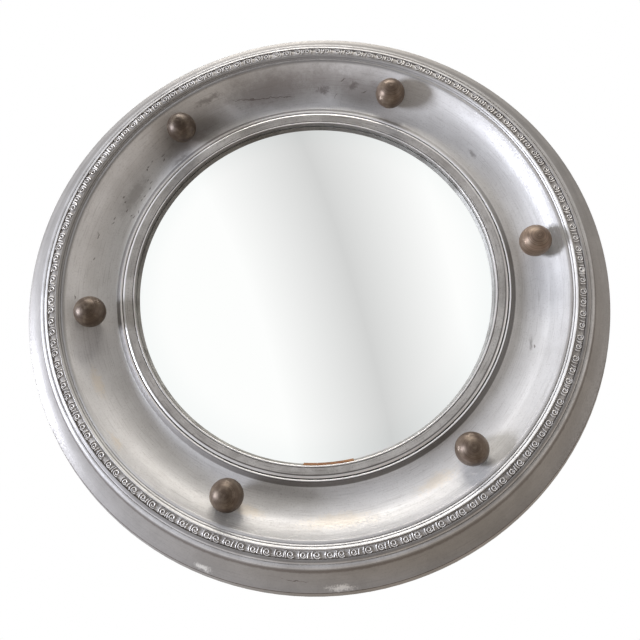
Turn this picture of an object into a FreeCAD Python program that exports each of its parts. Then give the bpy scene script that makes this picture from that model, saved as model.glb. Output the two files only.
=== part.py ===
import FreeCAD, Part
import os
import re
import Sketcher

# A convex mirror in a round, silvered, turned wood frame with six balls in its hollow.
#
# Every ring is drawn as an outline of radius and depth, where the radius is measured from the
# mirror's axis and the depth forwards from the flat back of the frame. Angles round the mirror are
# in degrees, anticlockwise from the right-hand side as seen from the front.
#
# The finished part hangs upright: +Z is up, the glass faces -Y, and the origin is where the wall
# screw bears in the slot of the hanger, on the plane of the frame's back.

SIZES = {
    # widths across the frame, from the opening outwards; they add up to 24 inches across
    "sight_radius": 187.0,        # opening that shows the glass
    "slip_width": 13.0,
    "nose_width": 2.9,            # rounded inner edge of the cove
    "cove_width": 51.6,
    "land_width": 4.7,            # flat rim between the cove and the bead
    "bead_width": 3.0,
    "band_width": 7.9,            # band under the scroll ornament
    "step_width": 9.5,            # stepped moulding outside the scrolls
    "flare_width": 21.0,
    "rim_stand_out": 4.0,         # of the widest edge beyond the flare
    "back_set_in": 5.0,           # of the flat back from that widest edge
    "ledge_width": 13.4,          # ledge that the cove ring sits on
    # glue lines and loose fits
    "glue_gap": 0.1,              # between glued wooden parts
    "seat_gap": 0.05,             # round felt, card, dowels and screws
    # rim: the back ring and, glued to its front, the flare that everything else is built on
    "rim_depth": 4.0,             # depth at which the widest edge lies
    "back_thickness": 8.0,        # depth of the joint between back ring and flare
    "arris_depth": 16.0,          # front edge of the brown side
    "flare_hollow": 36.0,         # radius of the flare's hollow
    "shelf_depth": 33.5,          # shelf that carries the three small mouldings
    "ledge_depth": 12.0,
    # stepped moulding
    "step_side": 1.1,             # height of its plain outer side
    "step_groove_in": 4.6,        # from the moulding's inner side
    "step_groove_width": 0.7,
    "step_groove_sink": 0.6,
    "step_low_height": 3.7,       # edges of the groove, above the shelf
    "step_top_height": 6.7,
    "step_round": 4.6,            # radius of both rounded steps
    "step_land": 0.7,
    # band and bead
    "band_height": 5.2,
    "band_crown": 12.0,
    "bead_side": 6.7,             # height of its plain sides
    "bead_height": 7.74,
    "bead_shoulder": 1.1,         # width of each rounded shoulder
    "bead_round": 1.1,
    # cove ring
    "land_height": 7.5,           # of the flat rim above the shelf
    "land_corner": 0.8,
    "land_drop": 1.06,            # from the flat rim to the edge of the hollow
    "quirk_in": 1.9,              # fine V groove turned in that rim
    "quirk_width": 0.8,
    "quirk_sink": 0.7,
    "cove_sink": 11.235,          # depth of the hollow below the line between its edges
    "nose_height": 4.6,           # of the nose's inner corner above the seat of the slip
    "nose_fall": 0.34,            # from there to the hollow's inner edge
    "nose_rise": 0.945,
    "slip_seat_depth": 15.0,
    "board_seat_depth": 8.0,
    "button_ledge_depth": 5.0,    # recessed back that the turn buttons lie on
    # slip: the narrow ring next to the glass
    "slip_shoulder_height": 5.0,
    "slip_round": 2.4,
    "slip_crest_in": 3.1,
    "slip_crest_height": 6.4,
    "lip_width": 1.8,             # thin raised lip round the opening
    "lip_height": 5.7,
    "lip_rise": 0.51,
    # convex glass, its felt and its packing
    "glass_lap": 6.0,             # of the glass behind the slip
    "glass_thickness": 3.0,
    "glass_curve": 805.0,         # radius of the convex face
    "glass_set_back": 0.5,        # of that face behind the seat of the slip, at the sight edge
    "glass_edge_gap": 1.0,        # between the glass and the rebate that holds it
    "felt_edge_gap": 0.5,         # between felt or packing and that rebate
    "felt_set_back": 1.5,         # of the felt from the sight edge
    "packing_width": 9.5,
    # slivers of bare wood tucked behind the lip at the bottom
    "shim_thickness": 0.7,
    "shim_sink": 0.6,             # below the shoulder of the lip
    "short_shim_angle": 267.2,
    "short_shim_sweep": 4.0,
    "long_shim_angle": 271.3,
    "long_shim_sweep": 11.0,
    # backboard
    "board_thickness": 3.0,
    "board_clearance": 0.5,
    "board_lap": 19.0,            # from the glass's rebate to the edge of the board's recess
    # balls and the dowels that hold them
    "ball_radius": 15.9,          # 1 1/4 inch balls
    "ball_seat_gap": 0.1,         # between ball and hollow
    "ball_1_angle": 8.5,          # drilled by eye, so up to 1.5 degrees off an even spacing
    "ball_2_angle": 68.1,
    "ball_3_angle": 129.3,
    "ball_4_angle": 188.6,
    "ball_5_angle": 249.9,
    "ball_6_angle": 310.7,
    "dowel_radius": 4.0,
    "dowel_foot_depth": 9.0,
    "dowel_stop": 3.0,            # the dowel ends this far short of the ball's centre
    "dowel_end_gap": 0.3,
    # turn buttons that hold the backboard
    "button_count": 6,
    "button_first_angle": 38.5,
    "button_stand_off": 15.0,     # from the board's recess to the buttons' circle
    "button_reach": 24.0,         # from the screw to the far end
    "button_tail": 8.0,
    "button_width": 12.0,
    "button_thickness": 1.4,
    "button_lift": 0.1,           # above the recessed back, and below the screw's head
    "button_play": 0.06,          # radial play round the screw
    "button_screw_radius": 2.0,
    "button_screw_head": 3.75,
    "button_screw_head_height": 1.8,
    "button_screw_length": 10.0,
    # screws that join the cove ring to the rim
    "ring_screw_count": 8,
    "ring_screw_first_angle": 22.5,
    "ring_screw_radius": 2.2,
    "ring_screw_head": 4.2,
    "ring_screw_length": 24.0,
    "screw_sink": 0.3,            # of countersunk heads below the face around them
    "slot_width": 1.0,            # screwdriver slots
    "slot_share": 0.5,            # share of a head's height that its slot is deep
    # keyhole hanger, let into the back of the rim at the top
    "hanger_edge": 26.5,          # from the back's outer edge to the hanger's middle
    "hanger_length": 48.0,
    "hanger_width": 16.0,
    "hanger_thickness": 1.5,
    "hanger_gap": 0.2,
    "entry_radius": 5.0,          # hole that passes the head of the wall screw
    "slot_radius": 2.25,          # half the width of the slot that the screw hangs in
    "keyhole_length": 11.0,       # from the middle of that hole to the slot's upper end
    "head_room_width": 14.0,      # opening behind the keyhole, right through the back ring
    "head_room_overrun": 2.0,     # past both ends of the keyhole
    "hanger_screw_spacing": 38.0,
    "hanger_screw_radius": 1.75,
    "hanger_screw_head": 3.0,
    "hanger_screw_head_height": 1.1,
    "hanger_screw_length": 6.5,
    # felt pads that keep the back off the wall
    "pad_count": 4,
    "pad_first_angle": 45.0,
    "pad_edge": 15.0,             # from the back's outer edge to a pad's middle
    "pad_radius": 7.0,
    "pad_thickness": 2.5,
}

BALL_COUNT = 6
ARCS = 3    # each ring is turned as this many equal arcs
HALF_ROUND = "half round"

# Radii worked out from the sizes above, from the opening outwards.
SLIP_OUTER = "(sight_radius + slip_width)"
SLIP_BORE = "(" + SLIP_OUTER + " + glue_gap)"
COVE_INNER = "(" + SLIP_BORE + " + nose_width)"
COVE_OUTER = "(" + COVE_INNER + " + cove_width)"
LAND_OUTER = "(" + COVE_OUTER + " + land_width)"
BORE = "(" + LAND_OUTER + " + glue_gap)"
BEAD_OUTER = "(" + BORE + " + bead_width)"
BAND_INNER = "(" + BEAD_OUTER + " + glue_gap)"
BAND_OUTER = "(" + BAND_INNER + " + band_width)"
STEP_INNER = "(" + BAND_OUTER + " + glue_gap)"
SHELF = "(" + STEP_INNER + " + step_width)"
ARRIS = "(" + SHELF + " + flare_width)"
RIM = "(" + ARRIS + " + rim_stand_out)"
BACK = "(" + RIM + " - back_set_in)"
LEDGE = "(" + BORE + " - ledge_width)"
RIM_AT_JOINT = "(%s - rim_stand_out * (back_thickness - rim_depth) / (arris_depth - rim_depth))" % RIM
SCREW_CIRCLE = "((%s + %s) / 2)" % (LEDGE, BORE)

# The hollow, from the line between its edges.
LAND_DEPTH = "(shelf_depth + land_height)"
COVE_OUTER_DEPTH = "(" + LAND_DEPTH + " - land_drop)"
COVE_INNER_DEPTH = "(slip_seat_depth + nose_height - nose_fall)"
COVE_CLIMB = "(%s - %s)" % (COVE_OUTER_DEPTH, COVE_INNER_DEPTH)
COVE_LINE = "sqrt(cove_width^2 + %s^2)" % COVE_CLIMB
COVE_RADIUS = "(%s^2 / (8 * cove_sink) + cove_sink / 2)" % COVE_LINE
COVE_LIFT = "((%s - cove_sink) / %s)" % (COVE_RADIUS, COVE_LINE)
COVE_CENTRE = "(%s + cove_width / 2 - %s * %s)" % (COVE_INNER, COVE_CLIMB, COVE_LIFT)
COVE_CENTRE_DEPTH = "((%s + %s) / 2 + cove_width * %s)" % (COVE_INNER_DEPTH, COVE_OUTER_DEPTH, COVE_LIFT)

# Balls, glass, board and buttons.
BALL_CIRCLE = "(" + COVE_INNER + " + cove_width / 2)"
BALL_DEPTH = ("(%s - sqrt((%s - ball_radius - ball_seat_gap)^2 - (%s - %s)^2))"
              % (COVE_CENTRE_DEPTH, COVE_RADIUS, BALL_CIRCLE, COVE_CENTRE))
DOWEL_TOP = "(" + BALL_DEPTH + " - dowel_stop)"
GLASS_EDGE = "(sight_radius + glass_lap)"
GLASS_DEPTH = "(slip_seat_depth - glass_set_back)"
DOME_CENTRE = "(" + GLASS_DEPTH + " - sqrt(glass_curve^2 - sight_radius^2))"
BACK_CURVE = "(glass_curve - glass_thickness)"
REBATE = "(" + GLASS_EDGE + " + glass_edge_gap)"
FELT_OUTER = "(" + REBATE + " - felt_edge_gap)"
FELT_INNER = "(sight_radius + felt_set_back)"
PACKING_INNER = "(" + FELT_OUTER + " - packing_width)"
RECESS = "(" + REBATE + " + board_lap)"
BUTTON_CIRCLE = "(" + RECESS + " + button_stand_off)"
BUTTON_BACK = "(button_ledge_depth - button_lift - button_thickness)"
HEAD_SEAT = "(" + BUTTON_BACK + " - button_lift)"

# Hanger and pads, from the edge of the back.
HANGER_CENTRE = "(" + BACK + " - hanger_edge)"
ENTRY_CENTRE = "(" + HANGER_CENTRE + " - keyhole_length / 2)"
SLOT_END = "(" + HANGER_CENTRE + " + keyhole_length / 2)"
PAD_CIRCLE = "(" + BACK + " - pad_edge)"
FRAME = "placement(vector(0; 0; -%s); rotation(vector(1; 0; 0); 90))" % SLOT_END

document = FreeCAD.newDocument("convex_mirror")
sheet = document.addObject("Spreadsheet::Sheet", "Sizes")
for row, (alias, number) in enumerate(SIZES.items(), start=1):
    sheet.set("A%d" % row, alias)
    sheet.set("B%d" % row, str(number))
    sheet.setAlias("B%d" % row, alias)
document.recompute()

PARTS = []


def bound(text):
    """The expression with each size's name pointing at its cell in the sheet."""
    return re.sub(r"[a-z_0-9]+", lambda word: "Sizes." + word[0] if word[0] in SIZES else word[0], text)


def value(text):
    """What an expression of sizes comes to."""
    result = sheet.evalExpression(bound(text))
    return getattr(result, "Value", result)


def dome(radius, curve="glass_curve"):
    """Depth of the glass's face, or of a face at the same centre, at a radius from the axis."""
    return "(%s + sqrt((%s)^2 - (%s)^2))" % (DOME_CENTRE, curve, radius)


def round_of(width, rise):
    """Radius of the arc that rises so far over a level width."""
    return "((%s)^2 / (8 * %s) + %s / 2)" % (width, rise, rise)


def round_from_axis(radius, angle):
    """Both coordinates of a point round the mirror's axis."""
    return "%s * cos((%s) * 1deg)" % (radius, angle), "%s * sin((%s) * 1deg)" % (radius, angle)


# ---- bodies, sketches and features ----

def new_body(name, spot=None):
    """An empty body, placed in the frame and then, if a spot is given, at that spot in it."""
    body = document.addObject("PartDesign::Body", name)
    body.Label = name
    body.setExpression("Placement", bound(FRAME if spot is None else FRAME + " * " + spot))
    PARTS.append(body)
    return body


def turned(angle):
    """A spot turned about the mirror's axis."""
    return "placement(vector(0; 0; 0); rotation(vector(0; 0; 1); %s))" % angle


def at(radius, angle, depth, turn="0"):
    """A spot at a radius, angle and depth, turned about its own axis."""
    x, y = round_from_axis(radius, angle)
    return "placement(vector(%s; %s; %s); rotation(vector(0; 0; 1); %s))" % (x, y, depth, turn)


def new_sketch(body, name, plane, depth=None):
    """A sketch on one of the body's own planes, lifted to a depth if one is given."""
    sketch = body.newObject("Sketcher::SketchObject", name)
    face = [item for item in body.Origin.OriginFeatures if item.Role == plane][0]
    sketch.AttachmentSupport = (face, [""])
    sketch.MapMode = "FlatFace"
    if depth is not None:
        sketch.setExpression("AttachmentOffset.Base.z", bound(depth))
    return sketch


def constrain(sketch, kind, *where_and_size):
    """A driving constraint whose size is an expression."""
    *where, size = where_and_size
    index = sketch.addConstraint(Sketcher.Constraint(kind, *where, value(size)))
    sketch.setExpression("Constraints[%d]" % index, bound(size))


def pin_point(sketch, edge, end, corner):
    """Hold one point of a sketch at a corner given as two expressions."""
    constrain(sketch, "DistanceX", -1, 1, edge, end, corner[0])
    constrain(sketch, "DistanceY", -1, 1, edge, end, corner[1])


def arc_between(start, end, radius, bulge):
    """The short arc from start to end; bulge is +1 or -1 for the side that it swells to."""
    chord = end - start
    half = chord.Length / 2
    if radius is None:
        radius = half
    across = FreeCAD.Vector(-chord.y, chord.x, 0).normalize() * bulge
    centre = (start + end) / 2 - across * (radius ** 2 - half ** 2) ** 0.5
    middle = centre + across * radius
    return Part.Arc(start, middle, end)


def draw_outline(sketch, corners):
    """A closed outline.

    A corner is (x, y), or (x, y, radius, bulge) when an arc leads to it. The radius HALF_ROUND
    makes that arc half a circle, on a chord that is level or upright.
    """
    points = [FreeCAD.Vector(value(corner[0]), value(corner[1]), 0) for corner in corners]
    for index, corner in enumerate(corners):
        start, end = points[index - 1], points[index]
        if len(corner) == 2:
            sketch.addGeometry(Part.LineSegment(start, end), False)
        else:
            radius = None if corner[2] is HALF_ROUND else value(corner[2])
            sketch.addGeometry(arc_between(start, end, radius, corner[3]), False)
    for index, corner in enumerate(corners):
        if len(corner) == 4:
            hold_arc(sketch, index, corner, points[index] - points[index - 1])
        following = (index + 1) % len(corners)
        end = end_at(sketch, index, points[index])
        start = end_at(sketch, following, points[index])
        sketch.addConstraint(Sketcher.Constraint("Coincident", index, end, following, start))
        pin_point(sketch, index, end, corner)


def hold_arc(sketch, edge, corner, chord):
    """Fix an arc's radius, or put the centre of a half circle on its chord."""
    if corner[2] is not HALF_ROUND:
        constrain(sketch, "Radius", edge, corner[2])
    elif abs(chord.x) > abs(chord.y):
        constrain(sketch, "DistanceY", -1, 1, edge, 3, corner[1])
    else:
        constrain(sketch, "DistanceX", -1, 1, edge, 3, corner[0])


def end_at(sketch, edge, point):
    """Which end of an edge, 1 or 2, lies at the point."""
    nearer_start = (sketch.getPoint(edge, 1) - point).Length < (sketch.getPoint(edge, 2) - point).Length
    return 1 if nearer_start else 2


def draw_circle(sketch, centre, radius):
    """A circle whose centre is given as two expressions."""
    middle = FreeCAD.Vector(value(centre[0]), value(centre[1]), 0)
    circle = sketch.addGeometry(Part.Circle(middle, FreeCAD.Vector(0, 0, 1), value(radius)), False)
    constrain(sketch, "Radius", circle, radius)
    pin_point(sketch, circle, 3, centre)


def revolve(body, sketch, sweep="360"):
    """Turn a sketch about the body's upright axis."""
    feature = body.newObject("PartDesign::Revolution", sketch.Name + "_turned")
    feature.Profile = sketch
    feature.ReferenceAxis = (sketch, ["V_Axis"])
    feature.setExpression("Angle", bound(sweep))
    body.Tip = feature
    return feature


def pad(body, sketch, height):
    """Raise a sketch towards the front."""
    feature = body.newObject("PartDesign::Pad", sketch.Name + "_raised")
    feature.Profile = sketch
    feature.setExpression("Length", bound(height))
    body.Tip = feature
    return feature


def pocket(body, sketch, depth=None):
    """Cut a sketch towards the front: to a depth, or right through if none is given."""
    document.recompute()
    before = body.Shape.Volume
    feature = body.newObject("PartDesign::Pocket", sketch.Name + "_cut")
    feature.Profile = sketch
    feature.Reversed = True
    if depth is None:
        feature.Type = "ThroughAll"
    else:
        feature.setExpression("Length", bound(depth))
    body.Tip = feature
    document.recompute()
    if body.Shape.Volume > before - 1e-6:
        raise ValueError(sketch.Name + " cuts nothing")
    return feature


def repeat_round(body, features, count):
    """Repeat features evenly round the body's upright axis."""
    axis = [item for item in body.Origin.OriginFeatures if item.Role == "Z_Axis"][0]
    pattern = body.newObject("PartDesign::PolarPattern", body.Name + "_round_%d" % len(body.Group))
    pattern.Originals = features
    pattern.Axis = (axis, [""])
    pattern.Angle = 360
    pattern.setExpression("Occurrences", bound(count))
    body.Tip = pattern
    return pattern


def turned_piece(name, corners, sweep="360", spot=None):
    """A piece turned on the mirror's axis from an outline of radius and depth."""
    body = new_body(name, spot)
    sketch = new_sketch(body, name + "_outline", "XZ_Plane")
    draw_outline(sketch, corners)
    revolve(body, sketch, sweep)
    return body


def ring(name, corners):
    """A full ring of equal arcs, each turned from the same outline of radius and depth."""
    body = turned_piece(name, corners, "360 / %d" % ARCS)
    repeat_round(body, [body.Tip], str(ARCS))
    return body


def drill_round(body, name, radius, angle, size, depth, length, count):
    """Drill holes evenly round the mirror's axis, from a depth towards the front."""
    sketch = new_sketch(body, name, "XY_Plane", depth)
    draw_circle(sketch, round_from_axis(radius, angle), size)
    hole = pocket(body, sketch, length)
    repeat_round(body, [hole], count)


# ---- frame ----

def back_ring():
    """Flat ring behind the flare, with the widest edge of the frame."""
    body = ring("back_ring", [
        (LEDGE, "0"),
        (BACK, "0"),
        (RIM, "rim_depth"),
        (RIM_AT_JOINT, "back_thickness"),
        (LEDGE, "back_thickness"),
    ])
    drill_round(body, "back_screw_holes", SCREW_CIRCLE, "ring_screw_first_angle",
                "(ring_screw_radius + seat_gap)", "0", None, "ring_screw_count")
    sink_round(body, "ring_screw_sinks")
    cut_hanger_recess(body)
    return body


def flare_ring():
    """Wide flare: brown side, hollow front, a shelf for the mouldings and a ledge for the cove ring."""
    body = ring("flare_ring", [
        (LEDGE, "back_thickness"),
        (RIM_AT_JOINT, "back_thickness"),
        (ARRIS, "arris_depth"),
        (SHELF, "shelf_depth", "flare_hollow", 1),
        (BORE, "shelf_depth"),
        (BORE, "ledge_depth"),
        (LEDGE, "ledge_depth"),
    ])
    drill_round(body, "ledge_screw_holes", SCREW_CIRCLE, "ring_screw_first_angle",
                "(ring_screw_radius + seat_gap)", "back_thickness", None, "ring_screw_count")
    return body


def sink_round(body, name):
    """Countersink the ring screws' holes from the flat back."""
    x, y = round_from_axis(SCREW_CIRCLE, "ring_screw_first_angle")
    cone = body.newObject("PartDesign::SubtractiveCone", name)
    cone.setExpression("Radius1", bound("ring_screw_head + screw_sink + seat_gap"))
    cone.setExpression("Radius2", bound("ring_screw_radius + seat_gap"))
    cone.setExpression("Height", bound("ring_screw_head - ring_screw_radius + screw_sink"))
    cone.setExpression("Placement.Base.x", bound(x))
    cone.setExpression("Placement.Base.y", bound(y))
    document.recompute()
    repeat_round(body, [cone], "ring_screw_count")


def cut_hanger_recess(body):
    """Let the hanger into the back, with an opening behind its keyhole for the wall screw's head."""
    recess = new_sketch(body, "hanger_recess", "XY_Plane")
    half = "(hanger_length / 2 - hanger_width / 2)"
    draw_upright_slot(recess, HANGER_CENTRE + " - " + half, HANGER_CENTRE + " + " + half,
                      "(hanger_width / 2 + hanger_gap)")
    pocket(body, recess, "hanger_thickness")
    room = new_sketch(body, "hanger_head_room", "XY_Plane")
    shorter = "(entry_radius + head_room_overrun - head_room_width / 2)"
    draw_upright_slot(room, ENTRY_CENTRE + " - " + shorter, SLOT_END + " + " + shorter,
                      "(head_room_width / 2)")
    pocket(body, room)
    holes = new_sketch(body, "hanger_screw_holes", "XY_Plane")
    for side in ("-", "+"):
        draw_circle(holes, ("0", "%s %s hanger_screw_spacing / 2" % (HANGER_CENTRE, side)),
                    "(hanger_screw_radius + seat_gap)")
    pocket(body, holes, "hanger_screw_length + 2 * seat_gap + screw_sink")


def draw_upright_slot(sketch, low, high, half_width):
    """A slot with round ends, standing upright on the mirror's vertical centre line."""
    draw_outline(sketch, [
        ("-" + half_width, low),
        (half_width, low, HALF_ROUND, -1),
        (half_width, high),
        ("-" + half_width, high, HALF_ROUND, -1),
    ])


def step_moulding():
    """Two small rounded steps with a fine groove between them, on the outside of the scrolls."""
    groove = STEP_INNER + " + step_groove_in"
    low = "shelf_depth + step_low_height"
    top = "shelf_depth + step_top_height"
    return ring("step_moulding", [
        (STEP_INNER, "shelf_depth"),
        (SHELF, "shelf_depth"),
        (SHELF, "shelf_depth + step_side"),
        (groove + " + step_groove_width / 2", low, "step_round", -1),
        (groove, low + " - step_groove_sink"),
        (groove + " - step_groove_width / 2", low),
        (STEP_INNER + " + step_land", top, "step_round", -1),
        (STEP_INNER, top),
    ])


def scroll_band():
    """Crowned band that carries the pressed scroll ornament."""
    return ring("scroll_band", [
        (BAND_INNER, "shelf_depth"),
        (BAND_OUTER, "shelf_depth"),
        (BAND_OUTER, "shelf_depth + band_height"),
        (BAND_INNER, "shelf_depth + band_height", "band_crown", -1),
    ])


def bead_moulding():
    """Plain bead on the inside of the scrolls."""
    return ring("bead_moulding", [
        (BORE, "shelf_depth"),
        (BEAD_OUTER, "shelf_depth"),
        (BEAD_OUTER, "shelf_depth + bead_side"),
        (BEAD_OUTER + " - bead_shoulder", "shelf_depth + bead_height", "bead_round", -1),
        (BORE + " + bead_shoulder", "shelf_depth + bead_height"),
        (BORE, "shelf_depth + bead_side", "bead_round", -1),
    ])


def cove_ring():
    """Wide hollow ring, with the rebates behind it for the slip, the glass and the backboard."""
    quirk = LAND_OUTER + " - quirk_in"
    nose_depth = "slip_seat_depth + nose_height"
    body = ring("cove_ring", [
        (LEDGE + " - glue_gap", "button_ledge_depth"),
        (LEDGE + " - glue_gap", "ledge_depth"),
        (LAND_OUTER, "ledge_depth"),
        (LAND_OUTER, LAND_DEPTH + " - land_corner"),
        (LAND_OUTER + " - land_corner", LAND_DEPTH),
        (quirk + " + quirk_width / 2", LAND_DEPTH),
        (quirk, LAND_DEPTH + " - quirk_sink"),
        (quirk + " - quirk_width / 2", LAND_DEPTH),
        (COVE_OUTER + " + land_corner", LAND_DEPTH),
        (COVE_OUTER, COVE_OUTER_DEPTH),
        (COVE_INNER, COVE_INNER_DEPTH, COVE_RADIUS, 1),
        (SLIP_BORE, nose_depth, round_of("nose_width", "nose_rise"), -1),
        (SLIP_BORE, "slip_seat_depth"),
        (REBATE, "slip_seat_depth"),
        (REBATE, "board_seat_depth"),
        (RECESS, "board_seat_depth"),
        (RECESS, "button_ledge_depth"),
    ])
    drill_round(body, "button_screw_holes", BUTTON_CIRCLE, "button_first_angle",
                "(button_screw_radius + seat_gap)", "button_ledge_depth",
                HEAD_SEAT + " + button_screw_length + 2 * seat_gap - button_ledge_depth", "button_count")
    drill_round(body, "ring_screw_pilots", SCREW_CIRCLE, "ring_screw_first_angle",
                "(ring_screw_radius + seat_gap)", "ledge_depth",
                "screw_sink + ring_screw_length + 2 * seat_gap - ledge_depth", "ring_screw_count")
    sockets = new_sketch(body, "dowel_sockets", "XY_Plane", "dowel_foot_depth - dowel_end_gap")
    for number in range(1, BALL_COUNT + 1):
        draw_circle(sockets, round_from_axis(BALL_CIRCLE, "ball_%d_angle" % number),
                    "(dowel_radius + seat_gap)")
    pocket(body, sockets)
    return body


def slip_ring():
    """Narrow ring next to the glass: rounded shoulder, gently sloping face and a thin raised lip."""
    lip_depth = "slip_seat_depth + lip_height"
    return ring("slip_ring", [
        ("sight_radius", "slip_seat_depth"),
        (SLIP_OUTER, "slip_seat_depth"),
        (SLIP_OUTER, "slip_seat_depth + slip_shoulder_height"),
        (SLIP_OUTER + " - slip_crest_in", "slip_seat_depth + slip_crest_height", "slip_round", -1),
        ("sight_radius + lip_width", lip_depth),
        ("sight_radius", lip_depth, round_of("lip_width", "lip_rise"), -1),
    ])


# ---- glass and what holds it ----

def mirror_glass():
    """Convex glass, silvered behind."""
    return turned_piece("mirror_glass", [
        ("0", dome("0", BACK_CURVE)),
        (GLASS_EDGE, dome(GLASS_EDGE, BACK_CURVE), BACK_CURVE, 1),
        (GLASS_EDGE, dome(GLASS_EDGE)),
        ("0", dome("0"), "glass_curve", -1),
    ])


def cushion_ring():
    """Felt between the slip and the edge of the glass."""
    curve = "(glass_curve + seat_gap)"
    return ring("cushion_ring", [
        (FELT_INNER, dome(FELT_INNER, curve)),
        (FELT_OUTER, dome(FELT_OUTER, curve), curve, 1),
        (FELT_OUTER, "slip_seat_depth"),
        (FELT_INNER, "slip_seat_depth"),
    ])


def packing_ring():
    """Card ring that fills the space between the edge of the glass and the backboard."""
    curve = "(" + BACK_CURVE + " - seat_gap)"
    return ring("packing_ring", [
        (PACKING_INNER, "board_seat_depth"),
        (FELT_OUTER, "board_seat_depth"),
        (FELT_OUTER, dome(FELT_OUTER, curve)),
        (PACKING_INNER, dome(PACKING_INNER, curve), curve, -1),
    ])


def shim(name, angle, sweep):
    """Sliver of bare wood standing against the inside of the lip."""
    outer = "sight_radius - glue_gap"
    inner = outer + " - shim_thickness"
    foot = dome(inner) + " + glue_gap"
    top = "slip_seat_depth + lip_height - shim_sink"
    return turned_piece(name, [
        (inner, foot),
        (outer, foot),
        (outer, top),
        (inner, top),
    ], sweep, turned(angle))


def backboard():
    """Round hardboard back behind the glass."""
    body = new_body("backboard")
    sketch = new_sketch(body, "backboard_outline", "XY_Plane", "board_seat_depth - board_thickness")
    draw_circle(sketch, ("0", "0"), "(%s - board_clearance)" % RECESS)
    pad(body, sketch, "board_thickness")
    return body


# ---- balls ----

def ball(number):
    """Turned ball with a blind hole behind for its dowel."""
    spot = at(BALL_CIRCLE, "ball_%d_angle" % number, BALL_DEPTH)
    body = new_body("ball_%d" % number, spot)
    hole = "(dowel_radius + seat_gap)"
    stop = "(dowel_end_gap - dowel_stop)"
    sketch = new_sketch(body, "ball_%d_outline" % number, "XZ_Plane")
    draw_outline(sketch, [
        (hole, stop),
        (hole, "-sqrt(ball_radius^2 - %s^2)" % hole),
        ("ball_radius", "0", "ball_radius", -1),
        ("0", "ball_radius", "ball_radius", -1),
        ("0", stop),
    ])
    revolve(body, sketch)
    return body


def ball_dowels():
    """One straight dowel behind each ball."""
    body = new_body("ball_dowels")
    sketch = new_sketch(body, "dowel_circles", "XY_Plane", "dowel_foot_depth")
    for number in range(1, BALL_COUNT + 1):
        draw_circle(sketch, round_from_axis(BALL_CIRCLE, "ball_%d_angle" % number), "dowel_radius")
    pad(body, sketch, DOWEL_TOP + " - dowel_foot_depth")
    return body


# ---- fastenings on the back ----

def turn_button(number):
    """Flat button that swings over the edge of the backboard; at rest it points to the middle."""
    angle = "(button_first_angle + %d * 360 / button_count)" % (number - 1)
    spot = at(BUTTON_CIRCLE, angle, BUTTON_BACK, angle + " + 180")
    body = new_body("turn_button_%d" % number, spot)
    sketch = new_sketch(body, "turn_button_%d_outline" % number, "XY_Plane")
    half = "(button_width / 2)"
    draw_outline(sketch, [
        (half + " - button_tail", half),
        (half + " - button_tail", "-" + half, HALF_ROUND, -1),
        ("button_reach - " + half, "-" + half),
        ("button_reach - " + half, half, HALF_ROUND, -1),
    ])
    draw_circle(sketch, ("0", "0"), "(button_screw_radius + button_play)")
    pad(body, sketch, "button_thickness")
    return body


def screw(name, corners, slot_foot, slot_length, slot_depth, spot):
    """A slotted screw, turned from an outline of radius and depth about its own axis."""
    body = new_body(name, spot)
    sketch = new_sketch(body, name + "_outline", "XZ_Plane")
    draw_outline(sketch, corners)
    revolve(body, sketch)
    slot = new_sketch(body, name + "_slot", "XY_Plane", slot_foot)
    draw_outline(slot, [
        ("-" + slot_length, "-slot_width / 2"),
        (slot_length, "-slot_width / 2"),
        (slot_length, "slot_width / 2"),
        ("-" + slot_length, "slot_width / 2"),
    ])
    pocket(body, slot, slot_depth)
    return body


def copies(name, screw_at, spots):
    """One node of separate, equal solids: a body is built at each spot and they are bound together."""
    bodies = [screw_at(name + "_%d" % (number + 1), spot) for number, spot in enumerate(spots)]
    group = document.addObject("Part::Compound", name)
    group.Label = name
    group.Links = bodies
    for body in bodies:
        PARTS.remove(body)
    PARTS.append(group)
    return group


def pan_screw(name, spot):
    """Pan-headed screw with its head towards the wall and its point in the cove ring."""
    return screw(name, [
        ("0", "-button_screw_head_height"),
        ("button_screw_head * 0.7", "-button_screw_head_height"),
        ("button_screw_head", "-button_screw_head_height * 0.5"),
        ("button_screw_head", "0"),
        ("button_screw_radius", "0"),
        ("button_screw_radius", "button_screw_length - button_screw_radius"),
        ("0", "button_screw_length"),
    ], "-button_screw_head_height", "button_screw_head", "slot_share * button_screw_head_height", spot)


def countersunk_screw(size):
    """A maker of countersunk screws whose sizes start with the given word; heads face the wall."""
    def build(name, spot):
        head = size + "_head"
        shank = size + "_radius"
        cone = "(%s - %s)" % (head, shank)
        return screw(name, [
            ("0", "0"),
            (head, "0"),
            (shank, cone),
            (shank, size + "_length - " + shank),
            ("0", size + "_length"),
        ], "0", head, "slot_share * " + cone, spot)
    return build


def even_spots(radius, first, count, depth):
    """Spots evenly round the mirror's axis."""
    number = int(value(count))
    return [at(radius, "(%s + %d * 360 / %s)" % (first, index, count), depth) for index in range(number)]


def button_screws():
    """Screws that the turn buttons swing on."""
    spots = even_spots(BUTTON_CIRCLE, "button_first_angle", "button_count", HEAD_SEAT)
    return copies("button_screws", pan_screw, spots)


def ring_screws():
    """Screws through the back ring and the ledge into the cove ring."""
    spots = even_spots(SCREW_CIRCLE, "ring_screw_first_angle", "ring_screw_count", "screw_sink")
    return copies("ring_screws", countersunk_screw("ring_screw"), spots)


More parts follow.
